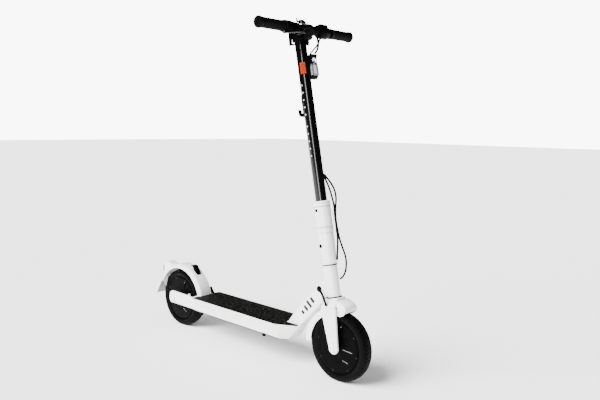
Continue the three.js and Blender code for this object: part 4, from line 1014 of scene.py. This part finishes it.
# ---- cables ---------------------------------------------------------------------------------------
def beside_stem(degrees, points):
    """Points given by distance from the head axis and height, on a line turned left from straight ahead."""
    turn = math.radians(degrees)
    return [(away * math.cos(turn), away * math.sin(turn), up) for away, up in points]


def flexing(name, points, replaces, radius=3.4):
    """A cable swept as a tube along its route, which runs between two bodies; the piece is left on no body."""
    made = piece(name, sweep(points, radius, HEAD), RUBBER, None, replaces)
    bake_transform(made)


def make_cables():
    brake_bar = [(66, -46, 1126), (74, -38, 1132), (80, -22, 1131), (79, -6, 1119), (76, 8, 1098),
                 (70, 14, 1074), (60, 13, 1058), (52, 10, 1051.5)]
    electric_bar = [(58, 54, 1128), (66, 44, 1120), (68, 30, 1100), (60, 16, 1076), (45, 5, 1060),
                    (38, 1, 1051.5)]
    for node, route, radius in (("bar_cable_brake", brake_bar, 3.7), ("bar_cable_electric", electric_bar, 3.0)):
        piece(node + "_fine", sweep(route, radius, HEAD), RUBBER, "stem", [node])

    brake = beside_stem(30, [(24.2, 617), (33, 602), (45, 580), (53, 555), (54, 527), (48, 496),
                             (44, 465), (44, 420), (47, 385), (54, 347), (60, 318), (60, 292),
                             (53, 265), (41, 246), (29.5, 239)])
    electric = beside_stem(18, [(24.2, 611), (28, 597), (37, 566), (43.5, 528), (46, 499), (44, 465),
                                (44, 420), (43, 385), (38, 351), (33, 325), (31, 308)])
    joint = 11  # the brake cable's point below the fold, where its two halves meet
    flexing("brake_cable_upper", brake[: joint + 1],
            ["stem_cable_brake"])
    flexing("brake_cable_lower", brake[joint:],
            ["lower_cable_brake"])
    flexing("electric_cable", electric,
            ["stem_cable_electric", "lower_cable_electric"])

    motor = [(834, -25, 323.8), (846, -33.5, 323), (866, -42, 312), (880, -46, 295), (888, -45, 276)]
    made = piece("motor_cable_fine", sweep(motor, 4.3, GROUND), RUBBER, None, ["motor_cable"])
    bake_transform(made)
    ends = []
    size = 4.6
    for place in beside_stem(30, [(23.4, 617)]) + beside_stem(18, [(23.4, 611)]):
        grommet = fillet([(0, -2.6), (size, -2.6), (size, 1.2), (3.4, 2.8), (0, 2.8)], 0.7, closed=False)
        away = Vector((place[0], place[1], 12)).normalized().to_track_quat("Z", "Y").to_matrix().to_4x4()
        ends.append(lathe(grommet, HEAD @ at(*place) @ away, 28))
    piece("stem_cable_grommets", joined(*ends), RUBBER, "stem")
    height, grip, tall = 412.0, 3.9, 6
    left = Vector(beside_stem(30, [(44.5, height)])[0])
    right = Vector(beside_stem(18, [(44.0, height)])[0])
    across = (right - left).normalized()
    turn = Matrix((across, Vector((0, 0, 1)).cross(across), (0, 0, 1))).transposed().to_4x4()
    half = (right - left).length / 2 + grip
    band = rectangle(-half, half, -grip, grip, 3.8)
    clip = prism(band, -tall, tall, HEAD @ Matrix.Translation((left + right) / 2) @ turn, 1.0)
    clip = piece("cable_clip", clip, BLACK, None)
    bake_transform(clip)


AS_PACKED = {  # CAD nodes that are shown with their own mesh
    "battery_pack": WRAP, "controller": CASE, "steering_tube": STEEL, "front_axle": STEEL,
    "rear_axle": STEEL, "rear_brake": ALLOY, "fold_pivot_bolt": BLACK, "charge_port_cap": RUBBER,
    "kickstand_bracket": BLACK, "kickstand_leg": BLACK, "control_button": AMBER,
}
for node, material in AS_PACKED.items():
    mesh = frame["nodes"][node].data
    mesh.materials.clear()
    mesh.materials.append(material)

make_deck()
make_neck()
make_wheels()
make_rear()
make_fork()
make_fold()
make_stem()
make_bar()
make_lights()
make_cables()


# ---- floor ----------------------------------------------------------------------------------------
def make_floor():
    mesh = bpy.data.meshes.new("floor")
    size = 30
    corners = [(x, y, 0) for x, y in rectangle(-size, size, -size, size)]
    mesh.from_pydata(corners, [], [(0, 1, 2, 3)])
    floor = bpy.data.objects.new("floor", mesh)
    bpy.context.scene.collection.objects.link(floor)
    mesh.materials.append(finish("studio floor", (0.92, 0.92, 0.92), (0.5, 0.7), (60.0, 0.01), spread=0.01,
                                  Specular_IOR_Level=0.0))


make_floor()
